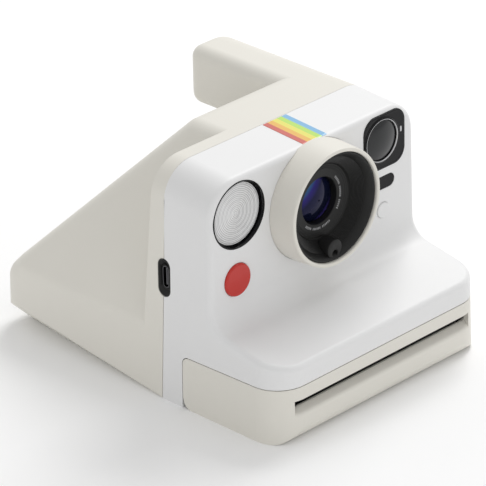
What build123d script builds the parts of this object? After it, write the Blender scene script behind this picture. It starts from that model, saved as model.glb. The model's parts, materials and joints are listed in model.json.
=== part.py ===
from build123d import *
import os
from math import atan2, cos, pi, radians, sin, tan

os.makedirs("parts", exist_ok=True)

# Instant camera. Millimetres. +Z is up, the lens looks along -Y, and +X is on a viewer's right when
# the viewer faces the lens. The origin is the middle of the footprint, on the surface it stands on.

# Overall size
LENGTH = 150.2
WIDTH = 112.2
HEIGHT = 95.5
WALL = 2.2
DRAFT = 1.1                      # degrees that every outer wall leans inwards

# Stations along Y
NOSE_END = -LENGTH / 2
REAR_END = LENGTH / 2
FACE_Y = -39.8                   # front face that carries the lens
SEAM_Y = -17.0                   # joint between the front and the rear cover, at the top
SEAM_FOOT_Y = -13.6              # the same joint, at the floor
SEAM_GAP = 0.3
FACE_BACK_Y = FACE_Y + WALL

# Front cover
SHELF_REAR_Z = 37.4              # sloping shelf, where it would meet the front face
SHELF_FRONT_Z = 30.9             # sloping shelf, at the nose end
TOP_FRONT_Z = 94.0               # top surface at the front face
TOP_CORNER_R = 13.0
NOSE_CORNER_R = 13.0
SHELF_FILLET_R = 9.0
EDGE_R = 2.4
NOSE_FOOT_R = 6.5                # rounding under the nose, in side view

# Rear cover
FOLD_Z = 28.0                    # height of the fold between the band and the sloping faces
PLATEAU_LEFT_X = -19.0
PLATEAU_REAR_Y = 6.5
REAR_SLOPE = 67.5 / 63.5         # fall over run of the long rear slope
RIDGE_R = 7.0
INNER_BEVEL = 1.6                # how far the bevel cuts back from the hollow's sharp edge
REAR_CORNER_R = 9.0
REAR_FOOT_R = 9.0                # rounding under the rear end, in side view
TAIL_RISE = 12.0                 # height of the foot facet at the rear end
TAIL_WIDTH = 12.0
RIM_TOP_Y = -10.5                # inner edge of the rim band, at the top
RIM_FOLD_Y = -4.5                # inner edge of the rim band, at the fold

# Viewfinder hump and sight line
HUMP_LEFT_X = 29.0
HUMP_END_Y = 55.4
HUMP_BOTTOM_Z = 71.0
HUMP_EDGE_R = 5.0
WINDOW_X = 38.0
WINDOW_Z = 81.4
OBJECTIVE_X = 36.4
OBJECTIVE_Z = 82.2
EYE_X = 41.8
EYE_Z = 82.8
EYE_LENS_R = 4.9
EYE_SLEEVE_R = 6.6
EYE_FLANGE_R = 7.6
TUBE_FRONT_Y = -37.3
TUBE_REAR_Y = 47.1

# Film door and its hinge
DOOR_REAR_Y = -24.6
DOOR_TOP_FRONT_Z = 22.5
DOOR_TOP_REAR_Z = 21.2
DOOR_GAP = 0.35
HINGE_Y = -28.8
HINGE_Z = 3.9
HINGE_PIN_R = 1.2
HINGE_RUNNING_GAP = 0.06
HINGE_EDGE_ROOM = 0.7            # free space round the door's turning edge, in the film chamber
SLOT_HALF_WIDTH = 47.4
SLOT_LOW_Z = 11.1                # foot of the sloping lip, on the outside
SLOT_LIP_Z = 13.0                # top of the sloping lip, inside
SLOT_HIGH_Z = 17.2
SLOT_LIP_DEPTH = 3.6
SLOT_LIP_R = 1.8

# Lens, flash, buttons and windows on the front face
LENS_Z = 71.0
RING_R = 23.8
RING_BORE_R = 21.7
RING_FRONT_Y = -51.6
RING_SEAT_Y = -38.6
LENS_WELL_R = 9.3                # bore of the hood round the glass
LENS_WELL_Y = -42.5              # front edge of that bore
GLASS_R = 9.1
GLASS_FRONT_Y = -40.6            # middle of the domed front
GLASS_DOME = 2.0
GLASS_REAR_Y = -36.4
SENSOR_BOSS_DROP = 17.4          # boss of the filter sensor in the hood, below the lens axis
SENSOR_HOLE_DROP = 19.2
SENSOR_BOSS_Y = -50.1            # front of the boss
SENSOR_BOSS_R = 3.9
SENSOR_HOLE_R = 1.4
STRIPE_X = 2.4
STRIPE_WIDTH = 12.4
FLASH_X = -39.6
FLASH_Z = 78.9
FLASH_R = 13.3
FLASH_RIM = 0.45                 # width of the bezel's thin front rim
FLASH_WELL = 1.8                 # how far the flash window lies behind the bezel's front
FLASH_LENS_R = 12.1
FLASH_LENS_THICKNESS = 1.5
FLASH_SLEEVE_R = 12.6            # outer radius of the bezel behind the face
FLASH_TUBE_R = 1.3
REFLECTOR_FRONT_Y = -36.4
REFLECTOR_REAR_Y = -27.7
SHUTTER_X = -41.4
SHUTTER_Z = 53.2
SHUTTER_R = 6.5
TIMER_X = 37.2
TIMER_Z = 52.8
TIMER_R = 3.2
BUTTON_GAP = 0.15
WINDOW_SIZE = 22.4
WINDOW_CORNER_R = 5.8
SENSOR_X = 36.4
SENSOR_Z = 64.2
SENSOR_LENGTH = 14.4
SENSOR_HEIGHT = 5.3

# Film path
CHAMBER_HALF_WIDTH = 45.2
CHAMBER_WALL = 1.4
CHAMBER_FLOOR_Z = 2.6
CHAMBER_ROOF_Z = 24.0
CHAMBER_FRONT_Y = -57.0
CHAMBER_REAR_Y = 61.8
ROLLER_R = 4.0
ROLLER_Y = -63.0
ROLLER_GAP = 0.3
FILM_Z = 14.15
ROLLER_HALF_LENGTH = 44.5
SHAFT_R = 1.5
SHAFT_RUNNING_GAP = 0.06

# Gear train on the left of the film path
GEAR_X = -51.2
GEAR_THICKNESS = 2.8
ROLLER_TEETH = 16
IDLER_TEETH = 20
PINION_TEETH = 10
UPPER_Z = FILM_Z + ROLLER_R + ROLLER_GAP / 2
LOWER_Z = FILM_Z - ROLLER_R - ROLLER_GAP / 2
GEAR_MODULE = (UPPER_Z - LOWER_Z) / ROLLER_TEETH
AXLE_R = 1.0
AXLE_RUNNING_GAP = 0.06

# Charging port, on the left wall across the seam
PORT_Y = -15.6
PORT_Z = 50.8
PORT_LENGTH = 15.4
PORT_WIDTH = 6.3

# Tripod socket, 1/4-20 UNC
TRIPOD_Y = 67.6                  # behind the film chamber
TRIPOD_MINOR_R = 2.6
TRIPOD_DEPTH = 6.0
TRIPOD_INSERT_R = 4.0
TRIPOD_PAD_HALF = 6.5            # flat pad of the rear cover round the insert
TRIPOD_PAD_FRONT_Y = 63.4
TRIPOD_PAD_REAR_Y = 72.6
TRIPOD_PAD_TOP_Z = 5.0

# Strap bars in the rear wall
STRAP_X = 41.0
STRAP_Z = 13.0
STRAP_BAR_R = 1.25
STRAP_BAR_Y = REAR_END - 2.6
STRAP_POCKET_WIDTH = 9.0
STRAP_POCKET_HEIGHT = 11.0
STRAP_POCKET_DEPTH = 8.6
STRAP_POCKET_WALL = 1.3
STRAP_POCKET_FRONT_Y = REAR_END - 0.9
STRAP_POCKET_GAP = 0.05
STRAP_BAR_BITE = 1.1             # how far each end of a bar goes into the pocket's wall

# Base plate let into the rear cover's floor, and its screws
BASE_HALF_WIDTH = 43.0
BASE_FRONT_Y = -10.0
BASE_REAR_Y = 61.5
BASE_CORNER_R = 4.0
BASE_GAP = 0.1
SCREW_PLACES = [(-38.0, -5.5), (38.0, -5.5), (-38.0, 57.0), (38.0, 57.0)]
SCREW_R = 1.0
SCREW_HEAD_R = 1.9

# Counter window and buttons on the long rear slope
COUNTER_X = 6.0
COUNTER_DOWN = 15.0              # distance down the slope from the plateau
COUNTER_SIZE = (15.0, 11.0)
POWER_X = -7.5
POWER_R = 3.4
MODE_X = 18.5
MODE_R = 2.8


def half_width(z):
    """Half the outer width at a height."""
    return WIDTH / 2 - z * tan(radians(DRAFT))


def save(piece, name):
    """Label one finished piece and write its STEP file."""
    piece.part.label = name
    export_step(piece.part, f"parts/{name}.step")


def shelf_z(y):
    """Height of the sloping shelf at a station."""
    share = (y - NOSE_END) / (FACE_Y - NOSE_END)
    return SHELF_FRONT_Z + share * (SHELF_REAR_Z - SHELF_FRONT_Z)


# ---------------------------------------------------------------- outer volumes of the two covers

def drafted_block(inset, front_y, rear_y, corner_r):
    """Block with leaning walls and rounded vertical corners at both ends."""
    with BuildPart() as block:
        with BuildSketch(Plane.XY.offset(inset)):
            with Locations((0, (front_y + rear_y) / 2)):
                RectangleRounded(
                    2 * (half_width(inset) - inset), rear_y - front_y - 2 * inset, corner_r - inset
                )
        extrude(amount=HEIGHT - inset, taper=DRAFT)
    return block.part


def seam_plane(shift):
    """Plane of the joint between the covers, moved rearwards by the shift, facing forwards."""
    lean = atan2(SEAM_FOOT_Y - SEAM_Y, HEIGHT)
    return Plane(
        origin=(0, SEAM_Y + shift, HEIGHT), x_dir=(1, 0, 0), z_dir=(0, -cos(lean), -sin(lean))
    )


def foot_cutter(end_y, radius, inset):
    """What is cut from the lower edge at one end, to round it in side view."""
    towards = 1 if end_y > 0 else -1
    centre_y = end_y - towards * radius
    with BuildPart() as cutter:
        with BuildSketch(Plane.YZ):
            with Locations((centre_y + towards * radius, 0)):
                Rectangle(2 * radius, 2 * radius)
            with Locations((centre_y, radius)):
                Circle(radius - inset, mode=Mode.SUBTRACT)
        extrude(amount=WIDTH, both=True)
    return cutter.part


def front_volume(inset):
    """Nose and head of the camera, drawn in by the inset for the hollow inside."""
    block = drafted_block(inset, NOSE_END, -NOSE_END, NOSE_CORNER_R)
    foot = foot_cutter(NOSE_END, NOSE_FOOT_R, inset)
    with BuildPart() as volume:
        add(block)
        add(foot, mode=Mode.SUBTRACT)
        with BuildSketch(Plane.YZ) as side:
            with BuildLine():
                Polyline(
                    (SEAM_Y + 10, 0),
                    (NOSE_END - 5, 0),
                    (NOSE_END - 5, shelf_z(NOSE_END - 5)),
                    (FACE_Y, SHELF_REAR_Z),
                    (FACE_Y, TOP_FRONT_Z),
                    (SEAM_Y, HEIGHT),
                    (SEAM_Y + 10, HEIGHT),
                    close=True,
                )
            make_face()
            corner = side.vertices().sort_by_distance((FACE_Y, SHELF_REAR_Z, 0))[0]
            fillet(corner, radius=SHELF_FILLET_R)
            if inset:
                offset(amount=-inset, kind=Kind.INTERSECTION, mode=Mode.REPLACE)
        extrude(amount=WIDTH, both=True, mode=Mode.INTERSECT)
        top_edges = volume.edges().filter_by(
            lambda e: e.center().Z > 85 and abs(e.center().X) > 45 and e.length > 15
        )
        fillet(top_edges, radius=TOP_CORNER_R - inset)
        if not inset:
            split(bisect_by=seam_plane(-SEAM_GAP / 2), keep=Keep.TOP)
    return volume.part


def soften_front(raw):
    """Round the front cover's outer creases and the edge it stands on."""
    with BuildPart() as volume:
        add(raw)
        creases = volume.edges().filter_by(
            lambda e: e.center().Y < SEAM_Y - 1
            and e.center().Z > SHELF_FRONT_Z - 4
            and not (e.geom_type == GeomType.LINE and abs(e.tangent_at(0.5).Y) > 0.9 and e.center().Z > 60)
            and not (abs(e.center().X) < 1 and e.center().Z < SHELF_REAR_Z + 12 and e.center().Y > -60)
            and not (abs(e.tangent_at(0.5).Z) > 0.9 and e.center().Y < -60)
        )
        fillet(creases, radius=EDGE_R)
    return volume.part


def rear_slope_plane(depth):
    """Plane of the long rear slope, moved inwards by the depth; local +Y runs down the slope."""
    angle = atan2(REAR_SLOPE, 1)
    normal = Vector(0, sin(angle), cos(angle))
    origin = Vector(0, PLATEAU_REAR_Y, HEIGHT) - normal * depth
    return Plane(origin=origin, x_dir=(1, 0, 0), z_dir=normal)


def left_slope_plane(depth):
    """Plane of the inclined left face of the rear cover, moved inwards by the depth."""
    angle = atan2(HEIGHT - FOLD_Z, half_width(FOLD_Z) + PLATEAU_LEFT_X)
    normal = Vector(-sin(angle), 0, cos(angle))
    origin = Vector(PLATEAU_LEFT_X, 0, HEIGHT) - normal * depth
    return Plane(origin=origin, x_dir=(0, 1, 0), z_dir=normal)


def rear_wedge(inset):
    """Main mass of the rear cover: plateau, inclined left face and long rear slope."""
    block = drafted_block(inset, -REAR_END, REAR_END, REAR_CORNER_R)
    with BuildPart() as wedge:
        add(block)
        split(bisect_by=Plane.XY.offset(HEIGHT - inset), keep=Keep.BOTTOM)
        right_edge = wedge.edges().filter_by(
            lambda e: e.center().Z > 85 and e.center().X > 45 and e.length > 60
        )
        fillet(right_edge, radius=TOP_CORNER_R - inset)
        split(bisect_by=rear_slope_plane(inset), keep=Keep.BOTTOM)
        split(bisect_by=left_slope_plane(inset), keep=Keep.BOTTOM)
        creases = wedge.edges().filter_by(
            lambda e: e.length > 60
            and e.center().X < 40
            and e.center().Z > 40
            and (e.center().Y > 5 or abs(e.center().X - PLATEAU_LEFT_X) < 3)
        )
        if inset:
            ridge = creases.filter_by(lambda e: abs(e.tangent_at(0.5).Z) > 0.5)
            fillet(ridge, radius=RIDGE_R - inset)
            split(bisect_by=inner_bevel_plane(inset), keep=Keep.BOTTOM)
        else:
            fillet(creases, radius=RIDGE_R)
    return wedge.part


def inner_bevel_plane(depth):
    """Bevel of the hollow's right rear edge, which keeps the wall whole under the outer rounding."""
    slope = rear_slope_plane(depth)
    z = (HEIGHT + FOLD_Z) / 2
    y = slope.origin.Y + (slope.origin.Z - z) / REAR_SLOPE
    normal = (slope.z_dir + Vector(1, 0, 0)).normalized()
    edge = Vector(half_width(z) - depth, y, z)
    return Plane(origin=edge - normal * INNER_BEVEL, x_dir=(0, -normal.Z, normal.Y), z_dir=normal)


def tail_plane(side, depth):
    """Facet along the foot of one side wall, which widens towards the rear."""
    foot = Vector(side * half_width(0), SEAM_Y, 0)
    high = Vector(side * half_width(TAIL_RISE), REAR_END, TAIL_RISE)
    inner = Vector(side * (half_width(0) - TAIL_WIDTH), REAR_END, 0)
    normal = (high - foot).cross(inner - foot).normalized()
    if normal.Z > 0:
        normal = -normal
    return Plane(origin=foot - normal * depth, x_dir=(high - foot).normalized(), z_dir=normal)


def rim_volume(inset):
    """Rim band of the rear cover, with the same outline as the front cover's head."""
    block = drafted_block(inset, -REAR_END, REAR_END, REAR_CORNER_R)
    with BuildPart() as rim:
        add(block)
        split(bisect_by=Plane.XY.offset(HEIGHT - inset), keep=Keep.BOTTOM)
        top_edges = rim.edges().filter_by(
            lambda e: e.center().Z > 85 and abs(e.center().X) > 45 and e.length > 60
        )
        fillet(top_edges, radius=TOP_CORNER_R - inset)
        lean = atan2(RIM_FOLD_Y - RIM_TOP_Y, HEIGHT - FOLD_Z)
        back = Plane(
            origin=(0, RIM_TOP_Y - inset, HEIGHT), x_dir=(1, 0, 0), z_dir=(0, cos(lean), sin(lean))
        )
        split(bisect_by=back, keep=Keep.BOTTOM)
    return rim.part


def hump_volume(inset):
    """Viewfinder hump over the right of the rear slope."""
    block = drafted_block(inset, -REAR_END, REAR_END, REAR_CORNER_R)
    with BuildPart() as hump:
        add(block)
        split(bisect_by=Plane.XY.offset(HEIGHT - inset), keep=Keep.BOTTOM)
        right_edge = hump.edges().filter_by(
            lambda e: e.center().Z > 85 and e.center().X > 45 and e.length > 60
        )
        fillet(right_edge, radius=TOP_CORNER_R - inset)
        with BuildSketch(Plane.XZ):
            with BuildLine():
                Polyline(
                    (HUMP_LEFT_X, HUMP_BOTTOM_Z),
                    (WIDTH, HUMP_BOTTOM_Z),
                    (WIDTH, HEIGHT + 5),
                    (HUMP_LEFT_X, HEIGHT + 5),
                    close=True,
                )
            make_face()
            if inset:
                offset(amount=-inset, kind=Kind.INTERSECTION, mode=Mode.REPLACE)
        extrude(amount=-(HUMP_END_Y - inset), mode=Mode.INTERSECT)
        fillet(hump.edges().filter_by(lambda e: e.center().Y > 1), radius=HUMP_EDGE_R - inset)
    return hump.part


def rear_volume(inset):
    """Whole rear cover as a solid, drawn in by the inset for the hollow inside."""
    foot = foot_cutter(REAR_END, REAR_FOOT_R, inset)
    with BuildPart() as volume:
        add(rear_wedge(inset))
        add(rim_volume(inset))
        add(hump_volume(inset))
        for side in (-1, 1):
            split(bisect_by=tail_plane(side, inset), keep=Keep.BOTTOM)
        add(foot, mode=Mode.SUBTRACT)
        if not inset:
            split(bisect_by=seam_plane(SEAM_GAP / 2), keep=Keep.BOTTOM)
    return volume.part


def door_prism(gap):
    """Space of the film door in side view, grown by the gap for the opening in the front cover."""
    with BuildPart() as prism:
        with BuildSketch(Plane.YZ) as side:
            with BuildLine():
                Polyline(
                    (NOSE_END - 5, -5),
                    (NOSE_END - 5, DOOR_TOP_FRONT_Z),
                    (DOOR_REAR_Y, DOOR_TOP_REAR_Z),
                    (DOOR_REAR_Y, HINGE_Z),
                    (DOOR_REAR_Y, -5),
                    close=True,
                )
            make_face()
            top_corner = side.vertices().sort_by_distance((DOOR_REAR_Y, DOOR_TOP_REAR_Z, 0))[0]
            fillet(top_corner, radius=3.0)
            if gap:
                offset(amount=gap, kind=Kind.INTERSECTION, mode=Mode.REPLACE)
        extrude(amount=WIDTH, both=True)
    return prism.part


def box_between(low, high, mode=Mode.ADD):
    """Axis-aligned box from its lowest and highest corner, for use inside a BuildPart block."""
    centre = [(a + b) / 2 for a, b in zip(low, high)]
    with Locations(tuple(centre)):
        Box(high[0] - low[0], high[1] - low[1], high[2] - low[2], mode=mode)


def rod_along_x(x_low, x_high, y, z, radius, mode=Mode.ADD):
    """Round rod along X, for use inside a BuildPart block."""
    with Locations(Plane(origin=(x_low, y, z), x_dir=(0, 1, 0), z_dir=(1, 0, 0))):
        Cylinder(radius, x_high - x_low, align=(Align.CENTER, Align.CENTER, Align.MIN), mode=mode)


def rod_along_y(y_low, y_high, x, z, radius, mode=Mode.ADD):
    """Round rod along Y, for use inside a BuildPart block."""
    with Locations(Plane(origin=(x, y_low, z), x_dir=(1, 0, 0), z_dir=(0, 1, 0))):
        Cylinder(radius, y_high - y_low, align=(Align.CENTER, Align.CENTER, Align.MIN), mode=mode)


def face_plane(x, y, z):
    """Plane square to Y whose local axes are X and Z, facing the viewer."""
    return Plane(origin=(x, y, z), x_dir=(1, 0, 0), z_dir=(0, -1, 0))


def turned_about_y(points, x, z):
    """Solid of revolution about an axis along Y, from (radius, y) points."""
    with BuildPart() as turned:
        with BuildSketch(Plane(origin=(x, 0, z), x_dir=(1, 0, 0), z_dir=(0, 0, -1))):
            with BuildLine():
                Polyline(*[(r, -y) for r, y in points], close=True)
            make_face()
        revolve(axis=Axis((x, 0, z), (0, 1, 0)))
    return turned.part


# ---------------------------------------------------------------- covers and door

def make_front_cover(outer, inner):
    """White shell of the nose and the head, with the openings for everything on its face."""
    port_space = port_cutter(0.1)
    door_space = door_prism(DOOR_GAP)
    with BuildPart() as cover:
        add(outer)
        add(inner, mode=Mode.SUBTRACT)
        add(door_space, mode=Mode.SUBTRACT)
        rod_along_y(FACE_Y - 20, RING_SEAT_Y, 0, LENS_Z, RING_R + 0.15, mode=Mode.SUBTRACT)
        rod_along_y(FACE_Y - 20, FACE_BACK_Y + 1, 0, LENS_Z, 20.0, mode=Mode.SUBTRACT)
        for x, z, radius in (
            (FLASH_X, FLASH_Z, FLASH_R + 0.1),
            (SHUTTER_X, SHUTTER_Z, SHUTTER_R + BUTTON_GAP),
            (TIMER_X, TIMER_Z, TIMER_R + BUTTON_GAP),
        ):
            rod_along_y(FACE_Y - 1, FACE_BACK_Y + 1, x, z, radius, mode=Mode.SUBTRACT)
        with BuildSketch(face_plane(WINDOW_X, FACE_Y - 1, WINDOW_Z)):
            RectangleRounded(WINDOW_SIZE + 0.2, WINDOW_SIZE + 0.2, WINDOW_CORNER_R + 0.1)
        extrude(amount=-(WALL + 2), mode=Mode.SUBTRACT)
        with BuildSketch(face_plane(SENSOR_X, FACE_Y - 1, SENSOR_Z)):
            SlotOverall(SENSOR_LENGTH + 0.2, SENSOR_HEIGHT + 0.2)
        extrude(amount=-(WALL + 2), mode=Mode.SUBTRACT)
        for side in (-1, 1):
            make_hinge_ear(side)
        add(port_space, mode=Mode.SUBTRACT)
        cut_latch_slot()
    save(cover, "front_cover")
    return cover.part


def make_hinge_ear(side):
    """Ear inside the front cover that holds one hinge pin of the film door."""
    low, high = sorted((side * 51.95, side * 53.45))
    box_between((low, HINGE_Y, HINGE_Z - 1.6), (high, SEAM_Y - 0.5, HINGE_Z + 3.2))
    wall_low, wall_high = sorted((side * 52.0, side * 55.0))
    box_between((wall_low, DOOR_REAR_Y + 0.6, HINGE_Z - 2.6), (wall_high, SEAM_Y - 0.5, HINGE_Z + 3.2))
    rod_along_x(low, high, HINGE_Y, HINGE_Z, 3.2)
    rod_along_x(low, high, HINGE_Y, HINGE_Z, HINGE_PIN_R, mode=Mode.SUBTRACT)


def port_cutter(gap):
    """Space of the charging port through the left wall and across the seam."""
    with BuildPart() as cutter:
        with BuildSketch(Plane(origin=(-WIDTH, PORT_Y, PORT_Z), x_dir=(0, 0, 1), z_dir=(1, 0, 0))):
            SlotOverall(PORT_LENGTH + 2 * gap, PORT_WIDTH + 2 * gap)
        extrude(amount=WIDTH - 40)
    return cutter.part


def cut_latch_slot():
    """Recess and slot for the door latch in the right wall's lower strip."""
    outside = half_width(16)
    box_between((outside - 1.0, -23.3, 11.4), (outside + 5, -17.2, 20.6), mode=Mode.SUBTRACT)
    box_between((outside - 4, -22.4, 14.2), (outside + 5, -18.0, 17.8), mode=Mode.SUBTRACT)


def make_rear_cover(outer, inner):
    """Cream shell of the rear: rim band, wedge, viewfinder hump and the floor."""
    port_space = port_cutter(0.1)
    control_space = control_cutter()
    with BuildPart() as cover:
        add(outer)
        add(inner, mode=Mode.SUBTRACT)
        add(port_space, mode=Mode.SUBTRACT)
        rod_along_y(30, REAR_END, EYE_X, EYE_Z, EYE_SLEEVE_R + 0.1, mode=Mode.SUBTRACT)
        box_between(
            (-TRIPOD_PAD_HALF, TRIPOD_PAD_FRONT_Y, 0),
            (TRIPOD_PAD_HALF, TRIPOD_PAD_REAR_Y, TRIPOD_PAD_TOP_Z),
        )
        with BuildSketch(Plane.XY):
            with Locations((0, TRIPOD_Y)):
                Circle(TRIPOD_INSERT_R + 0.1)
        extrude(amount=TRIPOD_PAD_TOP_Z + 1, mode=Mode.SUBTRACT)
        with BuildSketch(Plane.XY):
            base_outline(BASE_GAP)
        extrude(amount=WALL + 1, mode=Mode.SUBTRACT)
        for side in (-1, 1):
            strap_pocket_block(side, STRAP_POCKET_GAP, mode=Mode.SUBTRACT)
        add(control_space, mode=Mode.SUBTRACT)
    save(cover, "rear_cover")
    return cover.part


def base_outline(gap):
    """Outline of the base plate, grown by the gap, for use inside a BuildSketch block."""
    with Locations((0, (BASE_FRONT_Y + BASE_REAR_Y) / 2)):
        RectangleRounded(
            2 * (BASE_HALF_WIDTH + gap), BASE_REAR_Y - BASE_FRONT_Y + 2 * gap, BASE_CORNER_R + gap
        )


def strap_pocket_block(side, gap, mode=Mode.ADD):
    """Outer block of one strap pocket, grown by the gap, for use inside a BuildPart block."""
    x = side * STRAP_X
    half = STRAP_POCKET_WIDTH / 2 + STRAP_POCKET_WALL + gap
    tall = STRAP_POCKET_HEIGHT / 2 + STRAP_POCKET_WALL + gap
    rear = REAR_END - STRAP_POCKET_DEPTH - STRAP_POCKET_WALL - gap
    front = REAR_END + 1 if gap else STRAP_POCKET_FRONT_Y
    box_between((x - half, rear, STRAP_Z - tall), (x + half, front, STRAP_Z + tall), mode=mode)


def control_cutter():
    """Space of the counter window and the two rear buttons, through the long rear slope."""
    with BuildPart() as cutter:
        with BuildSketch(rear_slope_plane(-1)):
            with Locations((COUNTER_X, COUNTER_DOWN)):
                RectangleRounded(COUNTER_SIZE[0] + 0.2, COUNTER_SIZE[1] + 0.2, 2.1)
            with Locations((POWER_X, COUNTER_DOWN)):
                Circle(POWER_R + BUTTON_GAP)
            with Locations((MODE_X, COUNTER_DOWN)):
                Circle(MODE_R + BUTTON_GAP)
        extrude(amount=-(WALL + 3))
    return cutter.part


def make_film_door(outer, inner):
    """Cream door under the nose: shell, exit slot, hinge lugs and latch boss."""
    door_space = door_prism(0)
    hinge_edge = hinge_edge_cutter()
    slot = slot_cutter()
    with BuildPart() as door:
        add(outer)
        add(inner, mode=Mode.SUBTRACT)
        add(door_space, mode=Mode.INTERSECT)
        add(hinge_edge, mode=Mode.SUBTRACT)
        box_between(
            (-SLOT_HALF_WIDTH - 1.2, NOSE_END + 1.9, SLOT_LOW_Z - 1.6),
            (SLOT_HALF_WIDTH + 1.2, NOSE_END + SLOT_LIP_DEPTH + 0.8, SLOT_LIP_Z + 0.5),
        )
        add(slot, mode=Mode.SUBTRACT)
        lip_edge = door.edges().filter_by(
            lambda e: e.length > SLOT_HALF_WIDTH
            and abs(e.center().Z - SLOT_LOW_Z) < 0.4
            and e.center().Y < NOSE_END + 0.8
        )
        fillet(lip_edge, radius=SLOT_LIP_R)
        for side in (-1, 1):
            make_hinge_lug(side)
        make_latch_boss()
    save(door, "film_door")
    return door.part


def hinge_edge_cutter():
    """What is cut from the door's lower rear edge, to round it about the hinge axis."""
    radius = HINGE_Z
    rear_y = DOOR_REAR_Y + 3
    with BuildPart() as cutter:
        with BuildSketch(Plane.YZ):
            with BuildLine():
                Polyline((HINGE_Y, HINGE_Z), (HINGE_Y, -3), (rear_y, -3), (rear_y, HINGE_Z), close=True)
            make_face()
            with Locations((HINGE_Y, HINGE_Z)):
                Circle(radius, mode=Mode.SUBTRACT)
        extrude(amount=WIDTH, both=True)
    return cutter.part


def slot_cutter():
    """Space of the exit slot through the door's front, with a lower lip that slopes outwards."""
    with BuildPart() as cutter:
        with BuildSketch(Plane.YZ):
            with BuildLine():
                Polyline(
                    (NOSE_END - 2, SLOT_LOW_Z),
                    (NOSE_END - 2, SLOT_HIGH_Z),
                    (NOSE_END + SLOT_LIP_DEPTH + 3, SLOT_HIGH_Z),
                    (NOSE_END + SLOT_LIP_DEPTH + 3, SLOT_LIP_Z),
                    (NOSE_END + SLOT_LIP_DEPTH, SLOT_LIP_Z),
                    (NOSE_END + 0.2, SLOT_LOW_Z),
                    close=True,
                )
            make_face()
        extrude(amount=SLOT_HALF_WIDTH, both=True)
    return cutter.part


def make_hinge_lug(side):
    """Lug on the door beside one ear of the front cover, with a notch for the ear."""
    notch_low, notch_high = sorted((side * 51.75, side * 53.75))
    notch_corner = (notch_high, DOOR_REAR_Y + 1, HINGE_Z + 4)
    box_between((notch_low, HINGE_Y - 3.8, -1), notch_corner, mode=Mode.SUBTRACT)
    low, high = sorted((side * 49.2, side * 51.6))
    rod_along_x(low, high, HINGE_Y, HINGE_Z, 3.0)
    box_between((low, HINGE_Y - 3.0, 1.0), (high, HINGE_Y + 2.0, HINGE_Z))
    rod_along_x(low, high, HINGE_Y, HINGE_Z, HINGE_PIN_R + HINGE_RUNNING_GAP, mode=Mode.SUBTRACT)


def make_latch_boss():
    """Boss inside the door's right wall with a pocket for the tip of the latch."""
    box_between((50.4, -31.0, 11.8), (54.6, DOOR_REAR_Y, 19.6))
    box_between((51.2, -29.0, 13.4), (53.7, DOOR_REAR_Y + 1, 17.8), mode=Mode.SUBTRACT)


def make_roller_brackets():
    """Two bearing plates on the door's floor, each with two running holes."""
    with BuildPart() as brackets:
        for side in (-1, 1):
            low, high = sorted((side * 46.2, side * 47.8))
            box_between((low, ROLLER_Y - 4.6, WALL), (high, ROLLER_Y + 4.6, UPPER_Z + 3.6))
            for z in (LOWER_Z, UPPER_Z):
                rod_along_x(low, high, ROLLER_Y, z, SHAFT_R + SHAFT_RUNNING_GAP, mode=Mode.SUBTRACT)
    save(brackets, "roller_brackets")


def make_hinge_pins():
    """Two short pins that the film door turns on."""
    with BuildPart() as pins:
        for side in (-1, 1):
            low, high = sorted((side * 49.3, side * 53.45))
            rod_along_x(low, high, HINGE_Y, HINGE_Z, HINGE_PIN_R)
    save(pins, "door_hinge_pins")


def make_door_latch():
    """Latch slider: ribbed thumb pad outside, stem through the slot, tongue behind the door."""
    outside = half_width(16)
    with BuildPart() as latch:
        box_between((outside - 0.8, -23.0, 11.7), (outside - 0.25, -19.7, 20.3))
        for z in (13.4, 14.7, 16.0, 17.3, 18.6):
            rod_along_y(-22.6, -20.1, outside - 0.3, z, 0.35)
        box_between((outside - 3.2, -22.0, 14.6), (outside - 0.8, -20.7, 17.4))
        box_between((51.6, -27.6, 14.9), (outside - 2.6, -20.7, 17.1))
    save(latch, "door_latch")


# ---------------------------------------------------------------- lens group

def make_lens_ring():
    """Cream barrel around the lens, with a rounded front rim and a slight flare at its base."""
    ring = turned_about_y(
        [
            (RING_BORE_R, RING_FRONT_Y),
            (RING_R - 0.5, RING_FRONT_Y),
            (RING_R, RING_SEAT_Y - 3),
            (RING_R, RING_SEAT_Y),
            (20.2, RING_SEAT_Y),
            (20.2, RING_SEAT_Y - 1.2),
            (RING_BORE_R, RING_SEAT_Y - 1.2),
        ],
        0,
        LENS_Z,
    )
    with BuildPart() as piece:
        add(ring)
        rim = piece.edges().filter_by(GeomType.CIRCLE).group_by(Axis.Y)[0]
        fillet(rim, radius=0.7)
    save(piece, "lens_ring")


def make_lens_hood():
    """Black cone inside the barrel, stepped down to the front lens element."""
    cone = turned_about_y(
        [
            (21.5, -50.6),
            (21.5, -39.9),
            (19.8, -39.9),
            (19.8, -36.0),
            (LENS_WELL_R, -36.0),
            (LENS_WELL_R, LENS_WELL_Y),
            (14.4, LENS_WELL_Y - 0.4),
            (15.2, LENS_WELL_Y - 1.1),
            (18.8, -47.6),
            (20.7, -50.6),
        ],
        0,
        LENS_Z,
    )
    with BuildPart() as piece:
        add(cone)
        rod_along_y(SENSOR_BOSS_Y, -43.0, 0, LENS_Z - SENSOR_BOSS_DROP, SENSOR_BOSS_R)
        rod_along_y(-52, -45.5, 0, LENS_Z - SENSOR_HOLE_DROP, SENSOR_HOLE_R, mode=Mode.SUBTRACT)
    save(piece, "lens_hood")


def make_front_lens():
    """Domed front element of the lens."""
    sphere_r = (GLASS_R**2 + GLASS_DOME**2) / (2 * GLASS_DOME)
    with BuildPart() as lens:
        rod_along_y(GLASS_FRONT_Y, GLASS_REAR_Y, 0, LENS_Z, GLASS_R)
        with Locations((0, GLASS_FRONT_Y + sphere_r, LENS_Z)):
            Sphere(sphere_r, mode=Mode.INTERSECT)
    save(lens, "front_lens_element")


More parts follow.
